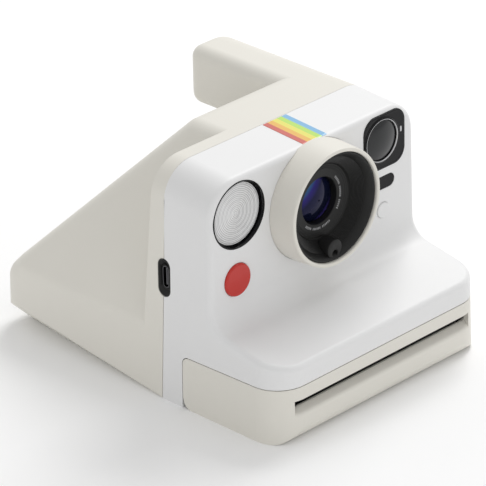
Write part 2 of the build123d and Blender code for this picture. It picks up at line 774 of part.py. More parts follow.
def make_lens_holder():
    """Moulded holder behind the face, with a stepped bore for the light path."""
    with BuildPart() as holder:
        box_between((-18.0, -35.8, LENS_Z - 17), (18.0, -23.0, LENS_Z + 17))
        fillet(holder.edges().filter_by(Axis.Y), radius=4)
        rod_along_y(-36, -30, 0, LENS_Z, 9.0, mode=Mode.SUBTRACT)
        rod_along_y(-36, -22, 0, LENS_Z, 6.0, mode=Mode.SUBTRACT)
        rod_along_y(-27.5, -22, 0, LENS_Z, 7.6, mode=Mode.SUBTRACT)
        rod_along_y(-23.1, -21.2, 13.0, LENS_Z, 1.0)
    save(holder, "lens_holder")


def make_rear_lens():
    """Rear element, held in the holder's rear bore."""
    points = [(0, -26.8), (5.0, -27.3), (7.5, -27.3), (7.5, -24.6), (5.0, -24.2), (0, -23.9)]
    piece = turned_about_y(points, 0, LENS_Z)
    with BuildPart() as lens:
        add(piece)
    save(lens, "rear_lens_element")


def make_shutter_blade():
    """Thin blade that turns on the holder's stub and uncovers the rear bore."""
    with BuildPart() as blade:
        with BuildSketch(Plane(origin=(0, -22.2, LENS_Z), x_dir=(1, 0, 0), z_dir=(0, -1, 0))):
            Circle(7.9)
            with Locations((13.0, 0)):
                Circle(2.6)
            with Locations((8.0, 0)):
                Rectangle(10.0, 4.4)
            with Locations((13.0, 0)):
                Circle(1.06, mode=Mode.SUBTRACT)
        extrude(amount=0.4)
    save(blade, "shutter_blade")


def make_filter_sensor():
    """Small light sensor behind the hole in the hood."""
    with BuildPart() as sensor:
        rod_along_y(-46.9, -45.6, 0, LENS_Z - SENSOR_HOLE_DROP, SENSOR_HOLE_R - 0.1)
    save(sensor, "filter_sensor")


# ---------------------------------------------------------------- flash

def make_flash_bezel():
    """Black ring round the flash window, with a wall that reaches back to the reflector."""
    front = FACE_Y - 0.1
    window = front + FLASH_WELL
    seat = window + FLASH_LENS_THICKNESS + 0.1
    ring = turned_about_y(
        [
            (FLASH_R, front),
            (FLASH_R, FACE_BACK_Y - 0.15),
            (FLASH_SLEEVE_R, FACE_BACK_Y - 0.15),
            (FLASH_SLEEVE_R, seat + 0.9),
            (FLASH_LENS_R - 0.7, seat + 0.9),
            (FLASH_LENS_R - 0.7, seat),
            (FLASH_LENS_R + 0.1, seat),
            (FLASH_LENS_R + 0.1, window),
            (FLASH_R - FLASH_RIM, window),
            (FLASH_R - FLASH_RIM, front),
        ],
        FLASH_X,
        FLASH_Z,
    )
    with BuildPart() as piece:
        add(ring)
    save(piece, "flash_bezel")


def make_flash_lens():
    """Fresnel window of the flash, with concentric grooves in its front."""
    front = FACE_Y - 0.1 + FLASH_WELL
    with BuildPart() as lens:
        rod_along_y(front, front + FLASH_LENS_THICKNESS, FLASH_X, FLASH_Z, FLASH_LENS_R)
        with BuildSketch(face_plane(FLASH_X, front, FLASH_Z)):
            for radius in (2.0, 4.0, 6.0, 8.0, 10.0):
                Circle(radius + 0.25)
                Circle(radius, mode=Mode.SUBTRACT)
        extrude(amount=-0.2, mode=Mode.SUBTRACT)
    save(lens, "flash_lens")


def make_flash_reflector():
    """Trough-shaped reflector behind the flash window."""
    with BuildPart() as reflector:
        with BuildSketch(face_plane(FLASH_X, REFLECTOR_FRONT_Y, FLASH_Z)):
            Rectangle(16.0, 14.0)
        with BuildSketch(face_plane(FLASH_X, REFLECTOR_REAR_Y, FLASH_Z)):
            Rectangle(14.0, 5.0)
        loft()
        with BuildSketch(face_plane(FLASH_X, REFLECTOR_FRONT_Y, FLASH_Z)):
            Rectangle(14.8, 12.8)
        with BuildSketch(face_plane(FLASH_X, REFLECTOR_REAR_Y - 0.8, FLASH_Z)):
            Rectangle(12.8, 4.0)
        loft(mode=Mode.SUBTRACT)
    save(reflector, "flash_reflector")


def make_flash_tube():
    """Glass discharge tube across the bottom of the reflector."""
    with BuildPart() as tube:
        rod_along_x(FLASH_X - 6.0, FLASH_X + 6.0, REFLECTOR_REAR_Y - 2.7, FLASH_Z, FLASH_TUBE_R)
    save(tube, "flash_tube")


def make_flash_capacitor():
    """Cylindrical capacitor that feeds the flash."""
    with BuildPart() as capacitor:
        with BuildSketch(Plane.XY.offset(57.0)):
            with Locations((-46.0, -22.0)):
                Circle(4.5)
        extrude(amount=26.0)
        fillet(capacitor.edges().filter_by(GeomType.CIRCLE), radius=0.5)
    save(capacitor, "flash_capacitor")


# ---------------------------------------------------------------- buttons and their switches

def make_face_button(name, x, z, radius, proud, stem_r):
    """Push button with a domed head, a retaining flange behind the face and a stem."""
    front = FACE_Y - proud
    with BuildPart() as button:
        rod_along_y(front, FACE_BACK_Y + 0.3, x, z, radius)
        crown = button.edges().filter_by(GeomType.CIRCLE).group_by(Axis.Y)[0]
        fillet(crown, radius=proud * 0.8)
        rod_along_y(FACE_BACK_Y + 0.2, FACE_BACK_Y + 1.2, x, z, radius + 0.9)
        rod_along_y(FACE_BACK_Y + 1.2, -32.6, x, z, stem_r)
    save(button, name)


def make_tact_switch(name, x, z, half):
    """Small switch that the stem of a face button presses, with its support leg."""
    with BuildPart() as switch:
        box_between((x - half, -29.6, z - half), (x + half, -27.0, z + half))
        rod_along_y(-30.6, -29.6, x, z, half * 0.45)
    save(switch, name)


def make_slope_button(name, x, radius):
    """Push button in the long rear slope, with a retaining flange under the wall."""
    with BuildPart() as button:
        with BuildSketch(rear_slope_plane(-0.5)):
            with Locations((x, COUNTER_DOWN)):
                Circle(radius)
        extrude(amount=-(WALL + 0.5 + 0.3))
        fillet(button.faces().sort_by(Axis((0, 0, 0), (0, 1, 1)))[-1].edges(), radius=0.4)
        with BuildSketch(rear_slope_plane(WALL + 0.25)):
            with Locations((x, COUNTER_DOWN)):
                Circle(radius + 0.8)
        extrude(amount=-0.8)
    save(button, name)


def make_counter_window():
    """Small display window in the rear slope that shows the pictures left."""
    with BuildPart() as window:
        with BuildSketch(rear_slope_plane(0.1)):
            with Locations((COUNTER_X, COUNTER_DOWN)):
                RectangleRounded(COUNTER_SIZE[0], COUNTER_SIZE[1], 2.0)
        extrude(amount=-(WALL + 1.0))
    save(window, "counter_window")


# ---------------------------------------------------------------- viewfinder and sensors

def make_viewfinder_window():
    """Glossy black plate on the face, bored for the round objective."""
    with BuildPart() as window:
        with BuildSketch(face_plane(WINDOW_X, FACE_Y - 0.25, WINDOW_Z)):
            RectangleRounded(WINDOW_SIZE, WINDOW_SIZE, WINDOW_CORNER_R)
            with Locations((OBJECTIVE_X - WINDOW_X, OBJECTIVE_Z - WINDOW_Z)):
                Circle(8.2, mode=Mode.SUBTRACT)
        extrude(amount=-2.0)
    save(window, "viewfinder_window")


def make_viewfinder_objective():
    """Round front lens of the viewfinder."""
    rim_r = 8.1
    dome = 1.5
    sphere_r = (rim_r**2 + dome**2) / (2 * dome)
    with BuildPart() as lens:
        rod_along_y(FACE_Y - dome, FACE_BACK_Y - 0.4, OBJECTIVE_X, OBJECTIVE_Z, rim_r)
        with Locations((OBJECTIVE_X, FACE_Y - dome + sphere_r, OBJECTIVE_Z)):
            Sphere(sphere_r, mode=Mode.INTERSECT)
    save(lens, "viewfinder_objective")


def make_viewfinder_tube():
    """Black tube from the front window to the eyepiece."""
    with BuildPart() as tube:
        with BuildSketch(face_plane(OBJECTIVE_X + 0.6, TUBE_FRONT_Y, OBJECTIVE_Z)):
            Rectangle(17.4, 17.4)
        with BuildSketch(face_plane(EYE_X, TUBE_REAR_Y, EYE_Z)):
            Rectangle(14.6, 14.6)
        loft()
        with BuildSketch(face_plane(OBJECTIVE_X + 0.6, TUBE_FRONT_Y, OBJECTIVE_Z)):
            Rectangle(15.4, 15.4)
        with BuildSketch(face_plane(EYE_X, TUBE_REAR_Y, EYE_Z)):
            Rectangle(12.6, 12.6)
        loft(mode=Mode.SUBTRACT)
    save(tube, "viewfinder_tube")


def make_eyepiece():
    """Rear lens of the viewfinder and the rubber ring that holds it."""
    with BuildPart() as lens:
        rod_along_y(TUBE_REAR_Y + 1.4, TUBE_REAR_Y + 4.2, EYE_X, EYE_Z, EYE_LENS_R)
    save(lens, "eyepiece_lens")
    bore = EYE_LENS_R + 0.1
    ring = turned_about_y(
        [
            (bore, TUBE_REAR_Y + 0.4),
            (EYE_SLEEVE_R, TUBE_REAR_Y + 0.4),
            (EYE_SLEEVE_R, HUMP_END_Y + 0.2),
            (EYE_FLANGE_R, HUMP_END_Y + 0.2),
            (EYE_FLANGE_R, HUMP_END_Y + 1.3),
            (EYE_SLEEVE_R - 0.7, HUMP_END_Y + 1.3),
            (bore, HUMP_END_Y - 3.5),
        ],
        EYE_X,
        EYE_Z,
    )
    with BuildPart() as cup:
        add(ring)
    save(cup, "eyecup")


def make_sensor_window():
    """Pill-shaped black window for the distance and light sensors."""
    with BuildPart() as window:
        with BuildSketch(face_plane(SENSOR_X, FACE_Y + 0.1, SENSOR_Z)):
            SlotOverall(SENSOR_LENGTH, SENSOR_HEIGHT)
        extrude(amount=-2.6)
    save(window, "sensor_window")


def make_stripe():
    """Thin five-colour strip on top of the head, from the seam to the barrel."""
    slope = atan2(HEIGHT - TOP_FRONT_Z, SEAM_Y - FACE_Y)
    top = Plane(origin=(0, SEAM_Y, HEIGHT), x_dir=(1, 0, 0), z_dir=(0, -sin(slope), cos(slope)))
    with BuildPart() as stripe:
        with BuildSketch(top):
            with Locations((STRIPE_X, (RING_SEAT_Y - SEAM_Y) / 2)):
                Rectangle(STRIPE_WIDTH, SEAM_Y - RING_SEAT_Y - 0.8)
        extrude(amount=0.12)
    save(stripe, "rainbow_stripe")


# ---------------------------------------------------------------- charging port and electronics

def port_plane(x):
    """Plane square to X at the charging port, facing left, with local X upwards."""
    return Plane(origin=(x, PORT_Y, PORT_Z), x_dir=(0, 0, 1), z_dir=(-1, 0, 0))


def make_port():
    """Black bezel of the charging port, its metal shell and the tongue inside."""
    outside = half_width(PORT_Z)
    with BuildPart() as bezel:
        with BuildSketch(port_plane(-outside - 0.1)):
            SlotOverall(PORT_LENGTH, PORT_WIDTH)
            SlotOverall(9.3, 3.6, mode=Mode.SUBTRACT)
        extrude(amount=-3.2)
    save(bezel, "port_bezel")
    with BuildPart() as shell:
        with BuildSketch(port_plane(-outside + 0.9)):
            SlotOverall(9.0, 3.2)
            SlotOverall(8.34, 2.56, mode=Mode.SUBTRACT)
        extrude(amount=-6.6)
        with BuildSketch(port_plane(-outside + 0.9 + 5.8)):
            SlotOverall(9.0, 3.2)
        extrude(amount=-0.8)
        with BuildSketch(port_plane(-outside + 1.5)):
            Rectangle(6.7, 0.7)
        extrude(amount=-5.4)
    save(shell, "port_receptacle")


def make_boards():
    """Main circuit board with its larger chips, and the rechargeable cell beside it."""
    with BuildPart() as board:
        box_between((48.6, -34.0, 28.0), (50.0, 18.0, 70.0))
        box_between((47.4, -24.0, 52.0), (48.6, -12.0, 64.0))
        box_between((47.6, -6.0, 54.0), (48.6, 4.0, 62.0))
    save(board, "main_board")
    with BuildPart() as cell:
        box_between((40.2, -18.0, 28.0), (47.0, 17.0, 50.0))
        fillet(cell.edges().filter_by(Axis.Z), radius=1.2)
    save(cell, "battery")


def make_mirror():
    """Trapezoid mirror under the long rear slope, which turns the light down to the film."""
    with BuildPart() as mirror:
        with BuildSketch(rear_slope_plane(5.0)):
            with BuildLine():
                Polyline((-17, 26), (17, 26), (41, 78), (-41, 78), close=True)
            make_face()
        extrude(amount=-1.6)
    save(mirror, "mirror")


# ---------------------------------------------------------------- film path

def make_film_chamber():
    """Open-fronted tray that holds the film pack, with the exposure window in its roof."""
    outer = CHAMBER_HALF_WIDTH + CHAMBER_WALL
    with BuildPart() as chamber:
        box_between(
            (-outer, CHAMBER_FRONT_Y, CHAMBER_FLOOR_Z),
            (outer, CHAMBER_REAR_Y + CHAMBER_WALL, CHAMBER_ROOF_Z + CHAMBER_WALL),
        )
        box_between(
            (-CHAMBER_HALF_WIDTH, CHAMBER_FRONT_Y - 1, CHAMBER_FLOOR_Z + 1.4),
            (CHAMBER_HALF_WIDTH, CHAMBER_REAR_Y, CHAMBER_ROOF_Z),
            mode=Mode.SUBTRACT,
        )
        above = CHAMBER_ROOF_Z + 2
        box_between((-39.5, -22.0, CHAMBER_ROOF_Z - 1), (39.5, 57.0, above), mode=Mode.SUBTRACT)
        box_between((-60, CHAMBER_FRONT_Y - 1, CHAMBER_ROOF_Z), (60, -30.0, above), mode=Mode.SUBTRACT)
        box_between(
            (-outer - 1, CHAMBER_REAR_Y - 11.0, 19.0),
            (-CHAMBER_HALF_WIDTH + 1, CHAMBER_REAR_Y, 23.2),
            mode=Mode.SUBTRACT,
        )
        rod_along_x(-60, 60, HINGE_Y, HINGE_Z, HINGE_Z + HINGE_EDGE_ROOM, mode=Mode.SUBTRACT)
        for side in (-1, 1):
            split(bisect_by=tail_plane(side, WALL + 0.1), keep=Keep.BOTTOM)
    save(chamber, "film_chamber")


def make_pick_arm():
    """Sliding arm beside the film chamber whose tab pushes the exposed picture forward."""
    with BuildPart() as arm:
        box_between((-48.3, 14.0, 19.4), (-47.1, 61.4, 22.8))
        box_between((-47.1, 60.2, 19.4), (-44.2, 61.4, 22.8))
    save(arm, "pick_arm")


def gear_points(teeth, phase):
    """Outline of a spur gear centred on the local origin, with one tooth at the phase."""
    pitch = GEAR_MODULE * teeth / 2
    stations = [
        (pitch - 1.12 * GEAR_MODULE, -0.36),
        (pitch, -0.225),
        (pitch + 0.88 * GEAR_MODULE, -0.10),
        (pitch + 0.88 * GEAR_MODULE, 0.10),
        (pitch, 0.225),
        (pitch - 1.12 * GEAR_MODULE, 0.36),
    ]
    points = []
    for tooth in range(teeth):
        for radius, share in stations:
            angle = phase + (tooth + share) * 2 * pi / teeth
            points.append((radius * cos(angle), radius * sin(angle)))
    return points


def gear_train():
    """Centres and tooth phases of the gears, from the upper roller back to the motor pinion."""
    steps = [(IDLER_TEETH, radians(32)), (IDLER_TEETH, radians(15)), (PINION_TEETH, radians(25))]
    gears = [(ROLLER_Y, UPPER_Z, ROLLER_TEETH, 0.0)]
    for teeth, heading in steps:
        y, z, last_teeth, last_phase = gears[-1]
        distance = GEAR_MODULE * (last_teeth + teeth) / 2
        phase = heading + pi + (pi - last_teeth * (last_phase - heading)) / teeth
        gears.append((y + distance * cos(heading), z + distance * sin(heading), teeth, phase))
    return gears


def spur_gear(y, z, teeth, phase, bore):
    """One gear of the train, with its axis along X."""
    with BuildPart() as gear:
        with BuildSketch(Plane(origin=(GEAR_X, y, z), x_dir=(0, 1, 0), z_dir=(1, 0, 0))):
            with BuildLine():
                Polyline(*gear_points(teeth, phase), close=True)
            make_face()
            if bore:
                Circle(bore, mode=Mode.SUBTRACT)
        extrude(amount=GEAR_THICKNESS)
    return gear.part


def make_roller(name, z, phase):
    """Steel processing roller with stepped shaft ends and a gear on the left end."""
    gear = spur_gear(ROLLER_Y, z, ROLLER_TEETH, phase, 0)
    with BuildPart() as roller:
        rod_along_x(-ROLLER_HALF_LENGTH, ROLLER_HALF_LENGTH, ROLLER_Y, z, ROLLER_R)
        rod_along_x(GEAR_X, 48.4, ROLLER_Y, z, SHAFT_R)
        add(gear)
    save(roller, name)


def make_gear_train():
    """Rollers, idler gears, their plate, the pinion and the motor."""
    gears = gear_train()
    down = -pi / 2
    lower_phase = down + pi + (pi - ROLLER_TEETH * (gears[0][3] - down)) / ROLLER_TEETH
    make_roller("upper_roller", UPPER_Z, gears[0][3])
    make_roller("lower_roller", LOWER_Z, lower_phase)
    for name, gear in zip(("idler_gear_front", "idler_gear_rear"), gears[1:3]):
        wheel = spur_gear(*gear, AXLE_R + AXLE_RUNNING_GAP)
        with BuildPart() as idler:
            add(wheel)
        save(idler, name)
    make_gear_plate(gears)
    y, z, teeth, phase = gears[3]
    wheel = spur_gear(y, z, teeth, phase, 0)
    with BuildPart() as pinion:
        add(wheel)
        rod_along_x(GEAR_X + 1, -44.0, y, z, 0.8)
    save(pinion, "motor_pinion")
    with BuildPart() as motor:
        rod_along_x(-45.2, -20.0, y, z, 5.0)
        rod_along_x(-46.4, -45.2, y, z, 2.4)
        rod_along_x(-46.4, -43.0, y, z, 0.86, mode=Mode.SUBTRACT)
    save(motor, "drive_motor")


def make_gear_plate(gears):
    """Metal plate that carries the idler axles, on two standoffs from the film chamber."""
    with BuildPart() as plate:
        with BuildSketch(Plane(origin=(-48.0, 0, 0), x_dir=(0, 1, 0), z_dir=(1, 0, 0))):
            with BuildLine():
                Polyline(
                    (-58.0, 19.0), (-34.0, 19.0), (-34.0, 32.5), (-42.0, 32.5), (-58.0, 28.5), close=True
                )
            make_face()
        extrude(amount=0.8)
        rod_along_x(-48.0, -47.2, gears[3][0], gears[3][1], 1.2, mode=Mode.SUBTRACT)
        for gear in gears[1:3]:
            rod_along_x(GEAR_X - 0.5, -48.0, gear[0], gear[1], AXLE_R)
        outer = CHAMBER_HALF_WIDTH + CHAMBER_WALL
        for y in (-52.0, -40.0):
            rod_along_x(-47.2, -outer, y, 21.0, 1.6)
    save(plate, "gear_plate")


def make_film_shield():
    """Rolled-up shield above the exit slot, inside the door."""
    with BuildPart() as shield:
        rod_along_x(-41.0, 41.0, NOSE_END + 4.4, 19.4, 1.3)
        rod_along_x(-41.5, 41.5, NOSE_END + 4.4, 19.4, 0.5, mode=Mode.SUBTRACT)
    save(shield, "film_shield")


# ---------------------------------------------------------------- base and small hardware

def make_tripod_socket():
    """Metal insert in the floor for a 1/4-20 screw, bored at the thread's minor radius."""
    with BuildPart() as insert:
        with BuildSketch(Plane.XY):
            with Locations((0, TRIPOD_Y)):
                Circle(TRIPOD_INSERT_R)
        extrude(amount=TRIPOD_DEPTH)
        with BuildSketch(Plane.XY):
            with Locations((0, TRIPOD_Y)):
                Circle(TRIPOD_MINOR_R)
        extrude(amount=TRIPOD_DEPTH, mode=Mode.SUBTRACT)
    save(insert, "tripod_socket")


def make_base_plate():
    """Plate that closes the rear cover's floor, with counterbored screw holes."""
    with BuildPart() as plate:
        with BuildSketch(Plane.XY):
            base_outline(0)
        extrude(amount=WALL)
        with BuildSketch(Plane.XY):
            with Locations(*SCREW_PLACES):
                Circle(SCREW_HEAD_R + 0.15)
        extrude(amount=1.4, mode=Mode.SUBTRACT)
        with BuildSketch(Plane.XY):
            with Locations(*SCREW_PLACES):
                Circle(SCREW_R)
        extrude(amount=WALL + 1, mode=Mode.SUBTRACT)
    save(plate, "base_plate")


def make_strap_pockets():
    """Two lined pockets in the rear wall, with holes for the ends of their bars."""
    half = STRAP_POCKET_WIDTH / 2
    tall = STRAP_POCKET_HEIGHT / 2
    reach = half + STRAP_BAR_BITE
    with BuildPart() as pockets:
        for side in (-1, 1):
            x = side * STRAP_X
            strap_pocket_block(side, 0)
            box_between(
                (x - half, REAR_END - STRAP_POCKET_DEPTH, STRAP_Z - tall),
                (x + half, REAR_END + 1, STRAP_Z + tall),
                mode=Mode.SUBTRACT,
            )
            rod_along_x(x - reach, x + reach, STRAP_BAR_Y, STRAP_Z, STRAP_BAR_R, mode=Mode.SUBTRACT)
    save(pockets, "strap_pockets")


def make_strap_bars():
    """Two steel bars across the strap pockets."""
    with BuildPart() as bars:
        for side in (-1, 1):
            x = side * STRAP_X
            reach = STRAP_POCKET_WIDTH / 2 + STRAP_BAR_BITE
            rod_along_x(x - reach, x + reach, STRAP_BAR_Y, STRAP_Z, STRAP_BAR_R)
    save(bars, "strap_bars")


def make_case_screws():
    """Pan-head screws in the floor, with cross recesses."""
    with BuildPart() as screws:
        with BuildSketch(Plane.XY.offset(0.2)):
            with Locations(*SCREW_PLACES):
                Circle(SCREW_HEAD_R)
        extrude(amount=1.2)
        with BuildSketch(Plane.XY.offset(1.4)):
            with Locations(*SCREW_PLACES):
                Circle(SCREW_R)
        extrude(amount=1.1)
        with BuildSketch(Plane.XY.offset(0.2)):
            with Locations(*SCREW_PLACES):
                Rectangle(2.2, 0.5)
                Rectangle(0.5, 2.2)
        extrude(amount=0.7, mode=Mode.SUBTRACT)
    save(screws, "case_screws")


front_inside = front_volume(WALL)
front_outside = soften_front(front_volume(0))
rear_inside = rear_volume(WALL)
rear_outside = rear_volume(0)

make_front_cover(front_outside, front_inside)
make_rear_cover(rear_outside, rear_inside)
make_film_door(front_outside, front_inside)
make_roller_brackets()
make_hinge_pins()
make_door_latch()
make_lens_ring()
make_lens_hood()
make_front_lens()
make_lens_holder()
make_rear_lens()
make_shutter_blade()
make_filter_sensor()
make_flash_bezel()
make_flash_lens()
make_flash_reflector()
make_flash_tube()
make_flash_capacitor()
make_face_button("shutter_button", SHUTTER_X, SHUTTER_Z, SHUTTER_R, 1.0, 2.0)
make_face_button("timer_button", TIMER_X, TIMER_Z, TIMER_R, 0.6, 1.3)
make_tact_switch("shutter_switch", SHUTTER_X, SHUTTER_Z, 3.0)
make_tact_switch("timer_switch", TIMER_X, TIMER_Z, 2.2)
make_slope_button("power_button", POWER_X, POWER_R)
make_slope_button("flash_mode_button", MODE_X, MODE_R)
make_counter_window()
make_viewfinder_window()
make_viewfinder_objective()
make_viewfinder_tube()
make_eyepiece()
make_sensor_window()
make_stripe()
make_port()
make_boards()
make_mirror()
make_film_chamber()
make_pick_arm()
make_gear_train()
make_film_shield()
make_base_plate()
make_tripod_socket()
make_strap_pockets()
make_strap_bars()
make_case_screws()
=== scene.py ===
import json
from math import asin, cos, pi, radians, sin, sqrt

import bmesh
import bpy
from mathutils import Matrix, Vector


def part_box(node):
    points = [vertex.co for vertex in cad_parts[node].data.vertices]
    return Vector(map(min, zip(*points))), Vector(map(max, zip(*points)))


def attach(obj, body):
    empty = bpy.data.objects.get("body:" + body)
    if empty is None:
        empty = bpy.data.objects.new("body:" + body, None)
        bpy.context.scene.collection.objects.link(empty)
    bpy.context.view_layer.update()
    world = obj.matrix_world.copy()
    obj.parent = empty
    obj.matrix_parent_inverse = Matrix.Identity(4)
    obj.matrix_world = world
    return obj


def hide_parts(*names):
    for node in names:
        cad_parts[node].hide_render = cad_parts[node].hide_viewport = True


# Instant camera. Metres. +Z is up, the lens looks along -Y and +X is on the right of a viewer who
# faces the lens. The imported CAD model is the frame, and the pieces below are built around it.

MM = 0.001

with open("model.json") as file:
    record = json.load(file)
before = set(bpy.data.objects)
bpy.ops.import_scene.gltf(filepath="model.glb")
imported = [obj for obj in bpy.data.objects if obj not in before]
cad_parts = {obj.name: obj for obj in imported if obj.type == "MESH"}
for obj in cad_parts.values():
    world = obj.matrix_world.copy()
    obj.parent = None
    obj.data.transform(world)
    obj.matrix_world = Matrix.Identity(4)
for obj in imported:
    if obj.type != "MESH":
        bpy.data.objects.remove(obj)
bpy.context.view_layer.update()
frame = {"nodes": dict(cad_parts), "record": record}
SCENE = bpy.context.scene
NODES = frame["nodes"]


# ---------------------------------------------------------------- measuring the frame

def middle(node):
    """Centre of a CAD node's box."""
    low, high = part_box(node)
    return (low + high) / 2


def size(node):
    """Lengths of a CAD node's box."""
    low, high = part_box(node)
    return high - low


# ---------------------------------------------------------------- shader helpers

def new_material(name, colour, roughness, **sockets):
    """A Principled material; returns it with its node tree and shader."""
    material = bpy.data.materials.new(name)
    material.use_nodes = True
    tree = material.node_tree
    shader = tree.nodes["Principled BSDF"]
    shader.inputs["Base Color"].default_value = (*colour, 1.0)
    shader.inputs["Roughness"].default_value = roughness
    for socket, value in sockets.items():
        shader.inputs[socket.replace("_", " ")].default_value = value
    return material, tree, shader


def object_coordinates(tree):
    """Coordinates that stay with the piece."""
    return tree.nodes.new("ShaderNodeTexCoord").outputs["Object"]


def noise(tree, scale, detail=2.0, roughness=0.5):
    """Noise over the piece, with the scale in waves per metre."""
    texture = tree.nodes.new("ShaderNodeTexNoise")
    texture.inputs["Scale"].default_value = scale
    texture.inputs["Detail"].default_value = detail
    texture.inputs["Roughness"].default_value = roughness
    tree.links.new(object_coordinates(tree), texture.inputs["Vector"])
    return texture.outputs["Fac"]


def spread(tree, value, low, high):
    """Map a 0 to 1 value to a range."""
    mapped = tree.nodes.new("ShaderNodeMapRange")
    mapped.inputs["To Min"].default_value = low
    mapped.inputs["To Max"].default_value = high
    tree.links.new(value, mapped.inputs["Value"])
    return mapped.outputs["Result"]


def bump(tree, shader, layers):
    """Stack height fields, each (value, height in metres, strength), into the shader's normal."""
    normal = None
    for value, height, strength in layers:
        node = tree.nodes.new("ShaderNodeBump")
        node.inputs["Strength"].default_value = strength
        node.inputs["Distance"].default_value = height
        tree.links.new(value, node.inputs["Height"])
        if normal is not None:
            tree.links.new(normal, node.inputs["Normal"])
        normal = node.outputs["Normal"]
    tree.links.new(normal, shader.inputs["Normal"])


def two_tone(tree, shader, value, first, second):
    """Vary the base colour a little between two close colours."""
    mix = tree.nodes.new("ShaderNodeMix")
    mix.data_type = "RGBA"
    mix.inputs["A"].default_value = (*first, 1.0)
    mix.inputs["B"].default_value = (*second, 1.0)
    tree.links.new(value, mix.inputs["Factor"])
    tree.links.new(mix.outputs["Result"], shader.inputs["Base Color"])


def shaded(colour, share):
    """A colour, made darker or lighter by a share."""
    return tuple(c * share for c in colour)


def moulded_plastic(name, colour, roughness, grain=0.5, specular=0.45):
    """Satin moulded plastic: fine spark-eroded grain, soft flow marks and a hint of uneven gloss."""
    material, tree, shader = new_material(name, colour, roughness)
    shader.inputs["Specular IOR Level"].default_value = specular
    fine = noise(tree, 5200, detail=3.0)
    broad = noise(tree, 38, detail=2.0)
    two_tone(tree, shader, broad, shaded(colour, 0.985), shaded(colour, 1.012))
    tree.links.new(spread(tree, fine, roughness - 0.05, roughness + 0.05), shader.inputs["Roughness"])
    bump(tree, shader, [(fine, 0.012 * MM, grain), (broad, 0.06 * MM, 0.08)])
    return material


def gloss_plastic(name, colour, roughness, specular=0.5, coat=0.3):
    """Polished plastic with very faint moulding ripple."""
    material, tree, shader = new_material(name, colour, roughness)
    shader.inputs["Specular IOR Level"].default_value = specular
    shader.inputs["Coat Weight"].default_value = coat
    shader.inputs["Coat Roughness"].default_value = 0.03
    ripple = noise(tree, 90, detail=1.0)
    dust = noise(tree, 2600, detail=4.0, roughness=0.7)
    tree.links.new(spread(tree, dust, roughness, roughness + 0.05), shader.inputs["Roughness"])
    bump(tree, shader, [(ripple, 0.02 * MM, 0.12)])
    return material


def metal(name, colour, roughness, grain_scale=(400, 9000, 9000), anisotropic=0.4):
    """Ground or drawn metal with fine lines along X."""
    material, tree, shader = new_material(name, colour, roughness, Metallic=1.0)
    shader.inputs["Anisotropic"].default_value = anisotropic
    stretch = tree.nodes.new("ShaderNodeMapping")
    stretch.inputs["Scale"].default_value = grain_scale
    tree.links.new(object_coordinates(tree), stretch.inputs["Vector"])
    lines = tree.nodes.new("ShaderNodeTexNoise")
    lines.inputs["Scale"].default_value = 1.0
    lines.inputs["Detail"].default_value = 3.0
    tree.links.new(stretch.outputs["Vector"], lines.inputs["Vector"])
    tree.links.new(
        spread(tree, lines.outputs["Fac"], roughness - 0.08, roughness + 0.1),
        shader.inputs["Roughness"],
    )
    bump(tree, shader, [(lines.outputs["Fac"], 0.006 * MM, 0.4)])
    return material


def optic(name, tint, film=0.0, transmission=1.0, ior=1.5):
    """Clear or coated glass; film is the thickness of its coating in nanometres."""
    material, tree, shader = new_material(name, tint, 0.015, IOR=ior)
    shader.inputs["Transmission Weight"].default_value = transmission
    shader.inputs["Coat Weight"].default_value = 0.0
    if film:
        shader.inputs["Thin Film Thickness"].default_value = film
        shader.inputs["Thin Film IOR"].default_value = 1.9
    polish = noise(tree, 60, detail=1.0)
    bump(tree, shader, [(polish, 0.004 * MM, 0.05)])
    return material


def circuit_board():
    """Green laminate with copper-like tracks under the lacquer."""
    green, copper = (0.012, 0.09, 0.04), (0.05, 0.16, 0.06)
    material, tree, shader = new_material("board_laminate", green, 0.35)
    tracks = tree.nodes.new("ShaderNodeTexBrick")
    tracks.inputs["Scale"].default_value = 260
    tracks.inputs["Mortar Size"].default_value = 0.06
    tree.links.new(object_coordinates(tree), tracks.inputs["Vector"])
    two_tone(tree, shader, tracks.outputs["Fac"], green, copper)
    bump(tree, shader, [(tracks.outputs["Fac"], 0.03 * MM, 0.5)])
    return material


WHITE = (0.80, 0.80, 0.80)
CREAM = (0.76, 0.738, 0.675)
BLACK = (0.014, 0.014, 0.013)

